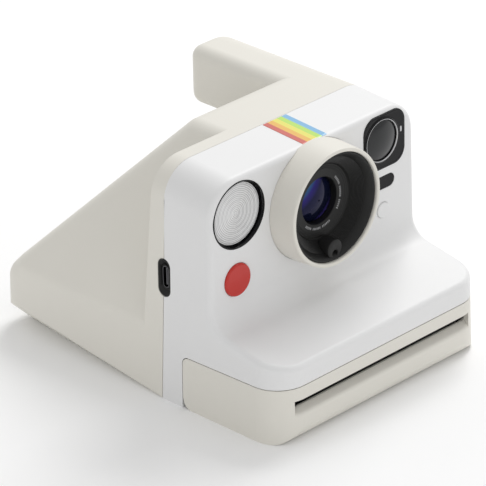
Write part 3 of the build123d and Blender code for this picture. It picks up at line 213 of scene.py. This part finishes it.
MATERIALS = {
    "white_shell": moulded_plastic("white_satin", WHITE, 0.46),
    "cream_shell": moulded_plastic("cream_satin", CREAM, 0.46),
    "black_plastic": moulded_plastic("black_satin", BLACK, 0.42, grain=0.8, specular=0.4),
    "gloss_black": gloss_plastic("black_polished", (0.004, 0.004, 0.005), 0.04, specular=0.2, coat=0.0),
    "red_gloss": gloss_plastic("red_polished", (0.54, 0.028, 0.020), 0.14, specular=0.4, coat=0.05),
    "steel": metal("ground_steel", (0.56, 0.57, 0.59), 0.28),
    "brass": metal("turned_brass", (0.70, 0.52, 0.24), 0.3),
    "tin": metal("tinned_sheet", (0.62, 0.62, 0.63), 0.34, grain_scale=(900, 900, 900), anisotropic=0.0),
    "clear_lens": optic("clear_optic", (0.93, 0.95, 0.97)),
    "coated_glass": optic("coated_optic", (0.10, 0.10, 0.30), film=420, transmission=0.85, ior=1.6),
    "mirror_glass": metal("mirror_silver", (0.92, 0.93, 0.94), 0.09, grain_scale=(60, 60, 60), anisotropic=0.0),
    "reflector": metal("bright_foil", (0.88, 0.89, 0.90), 0.15, grain_scale=(2500, 2500, 2500)),
    "black_rubber": moulded_plastic("black_rubber", (0.025, 0.025, 0.026), 0.66, grain=1.0, specular=0.35),
    "board": circuit_board(),
    "cell": moulded_plastic("cell_wrap", (0.16, 0.30, 0.52), 0.3, grain=0.15),
    "capacitor_sleeve": gloss_plastic("shrink_sleeve", (0.02, 0.024, 0.05), 0.16),
    "gear_plastic": moulded_plastic("acetal", (0.80, 0.78, 0.71), 0.38, grain=0.3),
    "chamber_black": moulded_plastic("matte_black", (0.016, 0.016, 0.016), 0.62, grain=1.0, specular=0.3),
    "stripe": gloss_plastic("stripe_base", (0.78, 0.6, 0.1), 0.3, coat=0.1),
}

HOOD_SATIN = moulded_plastic("hood_satin", (0.015, 0.015, 0.0145), 0.45, grain=0.7, specular=0.28)
MARK_PAINT = moulded_plastic("mark_paint", (0.55, 0.55, 0.56), 0.5, grain=0.3)
DARK_CLOTH = moulded_plastic("shield_cloth", (0.010, 0.010, 0.010), 0.8, grain=1.0, specular=0.2)


def dress_cad_nodes():
    """Give every CAD node the material of its slot in the record."""
    for part in frame["record"]["subparts"]:
        mesh = NODES[part["node"]].data
        mesh.materials.clear()
        mesh.materials.append(MATERIALS[part["material_slot"]])


dress_cad_nodes()


# ---------------------------------------------------------------- mesh helpers

def finish_mesh(name, bm, material, body, crease=32.0):
    """Turn a bmesh into a smooth-shaded piece that rides on a body."""
    bmesh.ops.remove_doubles(bm, verts=bm.verts, dist=1e-7)
    bmesh.ops.recalc_face_normals(bm, faces=bm.faces)
    mesh = bpy.data.meshes.new(name)
    bm.to_mesh(mesh)
    bm.free()
    for polygon in mesh.polygons:
        polygon.use_smooth = True
    mesh.set_sharp_from_angle(angle=radians(crease))
    mesh.materials.append(material)
    piece = bpy.data.objects.new(name, mesh)
    SCENE.collection.objects.link(piece)
    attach(piece, body)
    return piece


def bridge(bm, loops, closed):
    """Join rings of vertices in order; closed joins last to first, else both ends are capped."""
    count = len(loops[0])
    pairs = list(zip(loops, loops[1:]))
    if closed:
        pairs.append((loops[-1], loops[0]))
    else:
        bm.faces.new(loops[0][::-1])
        bm.faces.new(loops[-1])
    for first, second in pairs:
        for i in range(count):
            j = (i + 1) % count
            bm.faces.new((first[i], first[j], second[j], second[i]))


def turned(name, profile, x, z, material, body, segments=160, closed=True, crease=32.0):
    """Solid of revolution about an axis along Y, from (radius, y) points in metres."""
    bm = bmesh.new()
    loops = []
    for radius, y in profile:
        ring = []
        for i in range(segments):
            angle = 2 * pi * i / segments
            ring.append(bm.verts.new((x + radius * cos(angle), y, z + radius * sin(angle))))
        loops.append(ring)
    bridge(bm, loops, closed)
    return finish_mesh(name, bm, material, body, crease)


def dome_profile(radius, rim_y, crown_y, steps):
    """Points of a spherical cap, from its rim to just short of its middle."""
    rise = rim_y - crown_y
    ball = (radius**2 + rise**2) / (2 * rise)
    half_angle = asin(radius / ball)
    points = []
    for i in range(steps):
        angle = half_angle * (1 - i / steps)
        points.append((ball * sin(angle), crown_y + ball * (1 - cos(angle))))
    return points


def stadium(length, width, corner_steps=14):
    """Outline of a slot with round ends, as (along, across) points round its middle."""
    radius = width / 2
    straight = length / 2 - radius
    points = []
    for end, start in ((1, -pi / 2), (-1, pi / 2)):
        for i in range(corner_steps + 1):
            angle = start + pi * i / corner_steps
            points.append((end * straight + radius * cos(angle), radius * sin(angle)))
    return points


def rounded_square(side, radius, corner_steps=10):
    """Outline of a square with round corners, as (x, z) points round its middle."""
    reach = side / 2 - radius
    points = []
    for corner in range(4):
        start = corner * pi / 2
        cx = reach * (1 if corner in (0, 3) else -1)
        cz = reach * (1 if corner in (0, 1) else -1)
        for i in range(corner_steps + 1):
            angle = start + pi / 2 * i / corner_steps
            points.append((cx + radius * cos(angle), cz + radius * sin(angle)))
    return points


# ---------------------------------------------------------------- lens

HOOD_LOW, HOOD_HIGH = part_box("lens_hood")
GLASS_LOW, GLASS_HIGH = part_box("front_lens_element")
LENS_X = middle("lens_hood").x
LENS_Z = middle("lens_hood").z
HOOD_R = size("lens_hood").x / 2
GLASS_R = size("front_lens_element").x / 2
WELL_R = GLASS_R + 0.2 * MM
WELL_Y = GLASS_LOW.y - 1.9 * MM
BARREL_SHOULDER_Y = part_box("lens_ring")[1].y - 1.3 * MM


CONE_RIDGES = 11
CONE_RIDGE_HEIGHT = 0.16 * MM


def hood_profile():
    """Section of the hood: smooth mouth, ridged cone, annulus with fine grooves, and the well."""
    mouth_r, mouth_y = HOOD_R - 0.8 * MM, HOOD_LOW.y
    break_r, break_y = HOOD_R - 2.7 * MM, HOOD_LOW.y + 3.0 * MM
    foot_r, foot_y = HOOD_R - 6.3 * MM, WELL_Y - 1.1 * MM
    points = [
        (HOOD_R, mouth_y + 0.25 * MM),
        (HOOD_R, BARREL_SHOULDER_Y),
        (HOOD_R - 1.7 * MM, BARREL_SHOULDER_Y),
        (HOOD_R - 1.7 * MM, HOOD_HIGH.y),
        (WELL_R, HOOD_HIGH.y),
        (WELL_R, WELL_Y + 0.25 * MM),
        (WELL_R + 0.25 * MM, WELL_Y),
    ]
    for share in (0.62, 0.76, 0.9):
        radius = WELL_R + share * (foot_r - WELL_R)
        y = WELL_Y - share * 0.4 * MM
        points += [
            (radius - 0.15 * MM, y),
            (radius, y + 0.1 * MM),
            (radius + 0.15 * MM, y),
        ]
    for i in range(CONE_RIDGES):
        share = i / CONE_RIDGES
        next_share = (i + 0.72) / CONE_RIDGES
        radius = foot_r + share * (break_r - foot_r)
        y = foot_y + share * (break_y - foot_y)
        next_radius = foot_r + next_share * (break_r - foot_r)
        next_y = foot_y + next_share * (break_y - foot_y)
        points += [(radius, y), (next_radius - CONE_RIDGE_HEIGHT, next_y - 0.05 * MM)]
    points += [
        (break_r, break_y),
        (break_r + 0.1 * MM, break_y - 0.3 * MM),
        (mouth_r, mouth_y + 0.15 * MM),
        (mouth_r + 0.2 * MM, mouth_y),
        (HOOD_R - 0.25 * MM, mouth_y),
    ]
    return points


def make_hood():
    """Hood inside the barrel, with the round boss of the filter sensor on its lower side."""
    hood = turned("hood_cone", hood_profile(), LENS_X, LENS_Z, HOOD_SATIN, "camera",
                  segments=224, crease=26.0)
    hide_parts("lens_hood")
    make_sensor_boss()


BOSS_R = 3.9 * MM
BOSS_ABOVE_HOLE = 1.8 * MM       # the boss's middle, above the sensor's hole


def make_sensor_boss():
    """Round boss on the hood's lower side, with the sensor's hole below its middle."""
    sensor = middle("filter_sensor")
    hole_r = size("filter_sensor").x / 2 + 0.1 * MM
    boss_z = sensor.z + BOSS_ABOVE_HOLE
    front = HOOD_LOW.y + 0.5 * MM
    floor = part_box("filter_sensor")[0].y
    sections = [
        (BOSS_R, WELL_Y - 2.0 * MM, boss_z),
        (BOSS_R, front + 0.7 * MM, boss_z),
        (BOSS_R - 0.2 * MM, front + 0.2 * MM, boss_z),
        (BOSS_R - 0.6 * MM, front, boss_z),
        (hole_r + 0.3 * MM, front, sensor.z),
        (hole_r + 0.1 * MM, front + 0.1 * MM, sensor.z),
        (hole_r, front + 0.4 * MM, sensor.z),
        (hole_r, floor + 0.1 * MM, sensor.z),
        (hole_r, floor + 0.6 * MM, sensor.z),
        (hole_r + 0.6 * MM, floor + 0.6 * MM, boss_z),
    ]
    steps = 72
    bm = bmesh.new()
    loops = []
    for radius, y, z in sections:
        ring = []
        for i in range(steps):
            angle = 2 * pi * i / steps
            ring.append(bm.verts.new((sensor.x + radius * cos(angle), y, z + radius * sin(angle))))
        loops.append(ring)
    bridge(bm, loops, closed=True)
    finish_mesh("hood_sensor_boss", bm, HOOD_SATIN, "camera")


def make_annulus_marks():
    """Plain scale marks round the annulus, in two arcs."""
    mark_y = WELL_Y - 0.14 * MM
    inner_r = WELL_R + 1.2 * MM
    bm = bmesh.new()
    arcs = ((radians(-34), radians(40), 19), (radians(226), radians(296), 19))
    for start, stop, count in arcs:
        for i in range(count):
            angle = start + (stop - start) * i / (count - 1)
            length = (1.5 if i % 3 == 0 else 1.0) * MM
            if i % 7 == 5:
                continue
            along = Vector((cos(angle), 0, sin(angle)))
            across = Vector((-sin(angle), 0, cos(angle))) * 0.13 * MM
            start_point = Vector((LENS_X, mark_y, LENS_Z)) + along * inner_r
            end_point = start_point + along * length
            rings = []
            for lift in (0.0, 0.1 * MM):
                shift = Vector((0, lift, 0))
                corners = (start_point - across, start_point + across, end_point + across, end_point - across)
                rings.append([bm.verts.new(c + shift) for c in corners])
            bridge(bm, rings, closed=False)
    finish_mesh("hood_scale_marks", bm, MARK_PAINT, "camera")


GLASS_FORWARD = 1.5 * MM         # how far the crown stands in front of the CAD element
GLASS_DOME = 2.1 * MM            # from the crown back to the rim


def make_front_glass():
    """Domed front element with a bevelled rim."""
    crown_y = GLASS_LOW.y - GLASS_FORWARD
    rim_y = crown_y + GLASS_DOME
    face_r = GLASS_R - 0.75 * MM
    profile = [(GLASS_R, GLASS_HIGH.y), (GLASS_R, rim_y + 0.45 * MM), (face_r + 0.1 * MM, rim_y - 0.15 * MM)]
    profile += dome_profile(face_r, rim_y - 0.2 * MM, crown_y, 14)
    rear = [(GLASS_R * 0.08, GLASS_HIGH.y - 1.0 * MM), (face_r * 0.5, GLASS_HIGH.y - 0.8 * MM),
            (face_r * 0.85, GLASS_HIGH.y - 0.3 * MM)]
    front_middle = [(GLASS_R * 0.04, crown_y + 0.001 * MM)]
    glass = turned("front_glass", profile + front_middle + rear, LENS_X, LENS_Z,
                   FRONT_GLASS, "camera", segments=128, closed=True, crease=40.0)
    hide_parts("front_lens_element")


# Colour of the front glass from its upper left (0) to its lower right (1): a dark navy tint with painted
# reflections, violet and cyan glints at the upper left and a violet arc towards the lower right
PAINTED_GLINT_STOPS = [
    (0.06, (0.008, 0.010, 0.035)),
    (0.17, (0.045, 0.035, 0.260)),
    (0.22, (0.040, 0.130, 0.260)),
    (0.28, (0.030, 0.022, 0.180)),
    (0.38, (0.004, 0.006, 0.022)),
    (0.72, (0.003, 0.004, 0.014)),
    (0.86, (0.045, 0.028, 0.190)),
    (0.96, (0.010, 0.008, 0.040)),
]


def front_glass_with_painted_glints():
    """Dark navy glass with painted reflections running across it: violet and cyan glints on one side, a violet
    arc on the other.
    """
    material = gloss_plastic("front_element", (0.004, 0.0045, 0.020), 0.03, specular=0.3, coat=0.0)
    tree = material.node_tree
    shader = tree.nodes["Principled BSDF"]
    shader.inputs["Specular Tint"].default_value = (0.45, 0.42, 1.0, 1.0)
    parts = tree.nodes.new("ShaderNodeSeparateXYZ")
    tree.links.new(object_coordinates(tree), parts.inputs["Vector"])
    across = tree.nodes.new("ShaderNodeMapRange")
    across.inputs["From Min"].default_value = LENS_X - GLASS_R
    across.inputs["From Max"].default_value = LENS_X + GLASS_R
    upwards = tree.nodes.new("ShaderNodeMapRange")
    upwards.inputs["From Min"].default_value = LENS_Z + GLASS_R
    upwards.inputs["From Max"].default_value = LENS_Z - GLASS_R
    tree.links.new(parts.outputs["X"], across.inputs["Value"])
    tree.links.new(parts.outputs["Z"], upwards.inputs["Value"])
    place = tree.nodes.new("ShaderNodeMix")
    place.inputs["Factor"].default_value = 0.55
    tree.links.new(across.outputs["Result"], place.inputs["A"])
    tree.links.new(upwards.outputs["Result"], place.inputs["B"])
    ramp = tree.nodes.new("ShaderNodeValToRGB")
    elements = ramp.color_ramp.elements
    for element, (position, colour) in zip(elements, (PAINTED_GLINT_STOPS[0], PAINTED_GLINT_STOPS[-1])):
        element.position = position
        element.color = (*colour, 1.0)
    for position, colour in PAINTED_GLINT_STOPS[1:-1]:
        elements.new(position).color = (*colour, 1.0)
    tree.links.new(place.outputs["Result"], ramp.inputs["Fac"])
    # Painted reflections: the ramp puts the violet and cyan glints into the base colour over the dark navy tint
    tree.links.new(ramp.outputs["Color"], shader.inputs["Base Color"])
    return material


FRONT_GLASS = front_glass_with_painted_glints()

make_hood()
make_annulus_marks()
make_front_glass()


# ---------------------------------------------------------------- flash

FRESNEL_RINGS = 22
FRESNEL_GROOVE = 0.22 * MM
FRESNEL_WAVES = 430.0            # rate of the pale and darker rings in the shader


def make_flash_window():
    """Fresnel window of the flash: sawtooth rings in its front face, with a smooth middle."""
    low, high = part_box("flash_lens")
    radius = size("flash_lens").x / 2
    flat_r = radius - 0.35 * MM
    profile = [(radius, high.y), (radius, low.y + 0.05 * MM), (flat_r, low.y)]
    for i in range(FRESNEL_RINGS):
        outer = flat_r * (1 - i / FRESNEL_RINGS)
        inner = flat_r * (1 - (i + 1) / FRESNEL_RINGS)
        profile += [(outer - 0.05 * MM, low.y + FRESNEL_GROOVE), (inner + 0.04 * MM, low.y + 0.02 * MM)]
    profile.append((0.02 * MM, low.y))
    profile.append((0.02 * MM, high.y))
    centre = middle("flash_lens")
    window = turned("flash_fresnel", profile, centre.x, centre.z, FRESNEL, "camera",
                    segments=160, closed=True, crease=20.0)
    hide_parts("flash_lens")


def add_fresnel_rings(tree, shader):
    """Fine darker rings where the window's grooves catch no light."""
    centre = middle("flash_lens")
    shift = tree.nodes.new("ShaderNodeVectorMath")
    shift.operation = "SUBTRACT"
    shift.inputs[1].default_value = (centre.x, 0.0, centre.z)
    tree.links.new(object_coordinates(tree), shift.inputs[0])
    rings = tree.nodes.new("ShaderNodeTexWave")
    rings.wave_type = "RINGS"
    rings.rings_direction = "Y"
    rings.inputs["Scale"].default_value = FRESNEL_WAVES
    tree.links.new(shift.outputs["Vector"], rings.inputs["Vector"])
    two_tone(tree, shader, rings.outputs["Fac"], (0.60, 0.60, 0.60), (1.0, 1.0, 1.0))


FRESNEL = gloss_plastic("fresnel_clear", (0.88, 0.88, 0.88), 0.16, specular=0.6, coat=0.0)
FRESNEL_SHADER = FRESNEL.node_tree.nodes["Principled BSDF"]
FRESNEL_SHADER.inputs["Transmission Weight"].default_value = 0.06
add_fresnel_rings(FRESNEL.node_tree, FRESNEL_SHADER)

make_flash_window()


# ---------------------------------------------------------------- viewfinder window

# Sections of the rings round the objective: (past its radius, in front of the plate), in millimetres
BEVEL_SECTION = [
    (0.05, -0.8),
    (0.05, 0.15),
    (0.35, 0.42),
    (0.75, 0.46),
    (1.15, 0.22),
    (1.35, 0.01),
    (1.35, -0.8),
]
GLINT_SECTION = [(0.07, -0.2), (0.07, 0.2), (0.32, 0.50), (0.45, 0.50), (0.45, -0.2)]


def make_objective_rings():
    """Polished bevel ring round the objective, and a bright cone inside it that catches the light."""
    centre = middle("viewfinder_objective")
    radius = size("viewfinder_objective").x / 2
    plate_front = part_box("viewfinder_window")[0].y
    for name, section, slot in (
        ("objective_ring", BEVEL_SECTION, "gloss_black"),
        ("objective_glint", GLINT_SECTION, "tin"),
    ):
        profile = [(radius + past * MM, plate_front - proud * MM) for past, proud in section]
        turned(name, profile, centre.x, centre.z, MATERIALS[slot], "camera", segments=128, crease=50.0)


TAB_LENGTH = 2.3 * MM
TAB_WIDTH = 0.85 * MM
TAB_FROM_EDGE = 2.1 * MM
TAB_ABOVE_MIDDLE = 2.0 * MM


def make_window_mark():
    """Small pale sensor tab near the right edge of the window."""
    low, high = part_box("viewfinder_window")
    centre = middle("viewfinder_window")
    bm = bmesh.new()
    outline = stadium(TAB_LENGTH, TAB_WIDTH, 8)
    x = high.x - TAB_FROM_EDGE
    z = centre.z + TAB_ABOVE_MIDDLE
    rings = []
    for y, share in ((low.y + 0.4 * MM, 1.0), (low.y - 0.05 * MM, 1.0), (low.y - 0.09 * MM, 0.88)):
        rings.append([bm.verts.new((x + across * share, y, z + along * share)) for along, across in outline])
    bridge(bm, rings, closed=False)
    finish_mesh("window_sensor_tab", bm, MARK_PAINT, "camera")


def make_window_border():
    """Fine raised border that follows the window's outline."""
    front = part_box("viewfinder_window")[0].y
    centre = middle("viewfinder_window")
    side = size("viewfinder_window").x
    corner = 0.26 * side
    bm = bmesh.new()
    rings = []
    for inset, y in ((0.55, 0.2), (0.55, -0.02), (0.65, -0.07), (0.8, -0.07), (0.9, -0.02), (0.9, 0.2)):
        outline = rounded_square(side - 2 * inset * MM, corner - inset * MM)
        rings.append([bm.verts.new((centre.x + x, front + y * MM, centre.z + z)) for x, z in outline])
    bridge(bm, rings, closed=True)
    finish_mesh("window_border", bm, MATERIALS["gloss_black"], "camera", crease=50.0)


make_objective_rings()
make_window_mark()
make_window_border()

OBJECTIVE = gloss_plastic("objective_glass", (0.012, 0.013, 0.014), 0.02, specular=0.45, coat=0.0)
NODES["viewfinder_objective"].data.materials[0] = OBJECTIVE


# ---------------------------------------------------------------- charging port

def make_port_bezel():
    """Funnel-shaped bezel of the charging port, with a raised lip round the socket."""
    low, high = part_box("port_bezel")
    centre = middle("port_bezel")
    length, width = size("port_bezel").z, size("port_bezel").y
    socket_length, socket_width = size("port_receptacle").z, size("port_receptacle").y
    outside = low.x + 0.05 * MM
    sections = [
        (length, width, high.x),
        (length, width, outside + 0.12 * MM),
        (length - 0.25 * MM, width - 0.25 * MM, outside),
        (length - 0.8 * MM, width - 0.8 * MM, outside),
        (length - 1.1 * MM, width - 1.1 * MM, outside + 0.15 * MM),
        (socket_length + 2.2 * MM, socket_width + 1.3 * MM, outside + 1.5 * MM),
        (socket_length + 1.5 * MM, socket_width + 0.95 * MM, outside + 1.6 * MM),
        (socket_length + 1.1 * MM, socket_width + 0.75 * MM, outside + 0.95 * MM),
        (socket_length + 0.5 * MM, socket_width + 0.4 * MM, outside + 0.85 * MM),
        (socket_length + 0.28 * MM, socket_width + 0.28 * MM, outside + 1.05 * MM),
        (socket_length + 0.28 * MM, socket_width + 0.28 * MM, high.x),
    ]
    bm = bmesh.new()
    rings = []
    for long, across, x in sections:
        outline = stadium(long, across)
        rings.append([bm.verts.new((x, centre.y + b, centre.z + a)) for a, b in outline])
    bridge(bm, rings, closed=True)
    bezel = finish_mesh("port_funnel", bm, HOOD_SATIN, "camera", crease=40.0)
    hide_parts("port_bezel")


PORT_PLATING = metal("dark_plating", (0.10, 0.10, 0.105), 0.3)

make_port_bezel()
NODES["port_receptacle"].data.materials[0] = PORT_PLATING


# ---------------------------------------------------------------- stripe

STRIPE_COLOURS = [
    ("red", (0.60, 0.120, 0.095)),
    ("orange", (0.80, 0.47, 0.095)),
    ("yellow", (0.78, 0.73, 0.13)),
    ("green", (0.47, 0.72, 0.12)),
    ("blue", (0.21, 0.46, 0.71)),
]


STRIPE_THICKNESS = 0.12 * MM
HEAD_EDGE_R = 2.4 * MM           # rounding between the head's top and its face
RING_SEAT_DEPTH = 1.2 * MM       # how far the barrel's rear end lies behind the face


def stripe_line(x):
    """Points (y, z) of the printed surface from the seam forward, over the edge, down to the barrel."""
    low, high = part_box("rainbow_stripe")
    slope = (high.z - low.z - STRIPE_THICKNESS) / (high.y - low.y)
    face_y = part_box("lens_ring")[1].y - RING_SEAT_DEPTH
    bend_y = face_y + HEAD_EDGE_R
    top_at_bend = high.z - slope * (high.y - bend_y)
    barrel_r = size("lens_ring").x / 2
    lens_z = middle("lens_ring").z
    barrel_z = lens_z + sqrt(barrel_r**2 - x**2)
    barrel_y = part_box("lens_ring")[1].y
    points = [(high.y, high.z), (bend_y, top_at_bend)]
    steps = 24
    for i in range(1, steps):
        angle = (pi / 2) * i / steps
        y = bend_y - HEAD_EDGE_R * sin(angle)
        z = top_at_bend - HEAD_EDGE_R * (1 - cos(angle))
        if y < barrel_y + 0.2 * MM and z < barrel_z + 0.2 * MM:
            break
        points.append((y, z))
    return points


def make_stripe():
    """Five printed bands across the head, each a thin strip that ends against the barrel."""
    low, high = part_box("rainbow_stripe")
    band = (high.x - low.x) / len(STRIPE_COLOURS)
    for index, (colour_name, colour) in enumerate(STRIPE_COLOURS):
        ink = gloss_plastic(f"ink_{colour_name}", colour, 0.32, specular=0.4, coat=0.15)
        left = low.x + index * band
        line = stripe_line(min(abs(left), abs(left + band)))
        bm = bmesh.new()
        rings = []
        for y, z in line:
            corners = ((left, z), (left + band, z), (left + band, z - 0.1 * MM), (left, z - 0.1 * MM))
            rings.append([bm.verts.new((x, y, height)) for x, height in corners])
        bridge(bm, rings, closed=False)
        finish_mesh(f"stripe_{colour_name}", bm, ink, "camera")
    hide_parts("rainbow_stripe")


make_stripe()


# ---------------------------------------------------------------- exit slot

CURTAIN_DROP = 6.0 * MM


def make_slot_curtain():
    """Dark film shield that hangs from its roll, just inside the exit slot of the door."""
    top = middle("film_shield").z - 0.2 * MM
    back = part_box("film_shield")[1].y - 0.25 * MM
    foot = top - CURTAIN_DROP
    half = size("film_shield").x / 2
    steps = 10
    bm = bmesh.new()
    front_line = []
    for i in range(steps + 1):
        share = i / steps
        front_line.append((back - 0.5 * MM * sin(pi * share * 0.5) ** 2, top + (foot - top) * share))
    outline = front_line + [(y + 0.15 * MM, z) for y, z in reversed(front_line)]
    rings = []
    for x in (-half, half):
        rings.append([bm.verts.new((x, y, z)) for y, z in outline])
    bridge(bm, rings, closed=False)
    finish_mesh("film_shield_curtain", bm, DARK_CLOTH, "door")


make_slot_curtain()


# ---------------------------------------------------------------- studio

FLOOR_REACH = 6.0


def make_floor():
    """Plain pale floor that runs out of sight."""
    bm = bmesh.new()
    for x, y in ((-1, -1), (1, -1), (1, 1), (-1, 1)):
        bm.verts.new((x * FLOOR_REACH, y * FLOOR_REACH, 0.0))
    bm.faces.new(bm.verts)
    mesh = bpy.data.meshes.new("studio_floor")
    bm.to_mesh(mesh)
    bm.free()
    material, tree, shader = new_material("floor_paper", (0.97, 0.97, 0.97), 0.85)
    shader.inputs["Specular IOR Level"].default_value = 0.2
    bump(tree, shader, [(noise(tree, 900, detail=4.0), 0.02 * MM, 0.2)])
    mesh.materials.append(material)
    floor = bpy.data.objects.new("studio_floor", mesh)
    SCENE.collection.objects.link(floor)


def make_softbox(name, place, aim, side, watts):
    """Square soft light that points at a spot."""
    light = bpy.data.lights.new(name, "AREA")
    light.shape = "RECTANGLE"
    light.size, light.size_y = side, side
    light.energy = watts
    lamp = bpy.data.objects.new(name, light)
    lamp.location = place
    lamp.rotation_mode = "QUATERNION"
    lamp.rotation_quaternion = (Vector(aim) - Vector(place)).to_track_quat("-Z", "Y")
    SCENE.collection.objects.link(lamp)


WORLD_STRENGTH = 0.68

# Name, place, the spot it points at, side in metres and watts
SOFTBOXES = [
    ("softbox_key", (0.95, 0.30, 1.15), (0, 0, 0.03), 0.8, 11.5),
    ("softbox_front", (-0.35, -1.7, 0.40), (0, 0, 0.05), 0.9, 1.7),
]


def make_lights():
    """Pale surroundings, a key softbox above on the right, and a weak fill from the front."""
    world = bpy.data.worlds.new("studio_world")
    SCENE.world = world
    world.use_nodes = True
    background = world.node_tree.nodes["Background"]
    background.inputs["Color"].default_value = (1.0, 1.0, 1.0, 1.0)
    background.inputs["Strength"].default_value = WORLD_STRENGTH
    for softbox in SOFTBOXES:
        make_softbox(*softbox)


AZIMUTH = radians(44.99)
ELEVATION = radians(26.71)
ROLL = radians(1.306)
DISTANCE = 1542.8 * MM
FOCAL_LENGTH = 301.5
TARGET = Vector((0.0, 0.0, 47.0 * MM))
AIM_RIGHT = 1.48 * MM
AIM_DOWN = 6.94 * MM


def make_camera():
    """Long-lens camera from the front left, above the object."""
    back = Vector((
        -sin(AZIMUTH) * cos(ELEVATION),
        -cos(AZIMUTH) * cos(ELEVATION),
        sin(ELEVATION),
    ))
    right = Vector((cos(AZIMUTH), -sin(AZIMUTH), 0.0))
    up = back.cross(right)
    lens_right = right * cos(ROLL) - up * sin(ROLL)
    lens_up = right * sin(ROLL) + up * cos(ROLL)
    aim = TARGET + lens_right * AIM_RIGHT - lens_up * AIM_DOWN
    data = bpy.data.cameras.new("view_camera")
    data.lens = FOCAL_LENGTH
    data.sensor_width = 36.0
    data.clip_start, data.clip_end = 0.05, 20.0
    camera = bpy.data.objects.new("view_camera", data)
    turn = Matrix((lens_right, lens_up, back)).transposed()
    camera.matrix_world = Matrix.Translation(aim + back * DISTANCE) @ turn.to_4x4()
    SCENE.collection.objects.link(camera)
    SCENE.camera = camera


make_floor()
make_lights()
make_camera()
SCENE.view_settings.view_transform = "Standard"
SCENE.view_settings.look = "None"
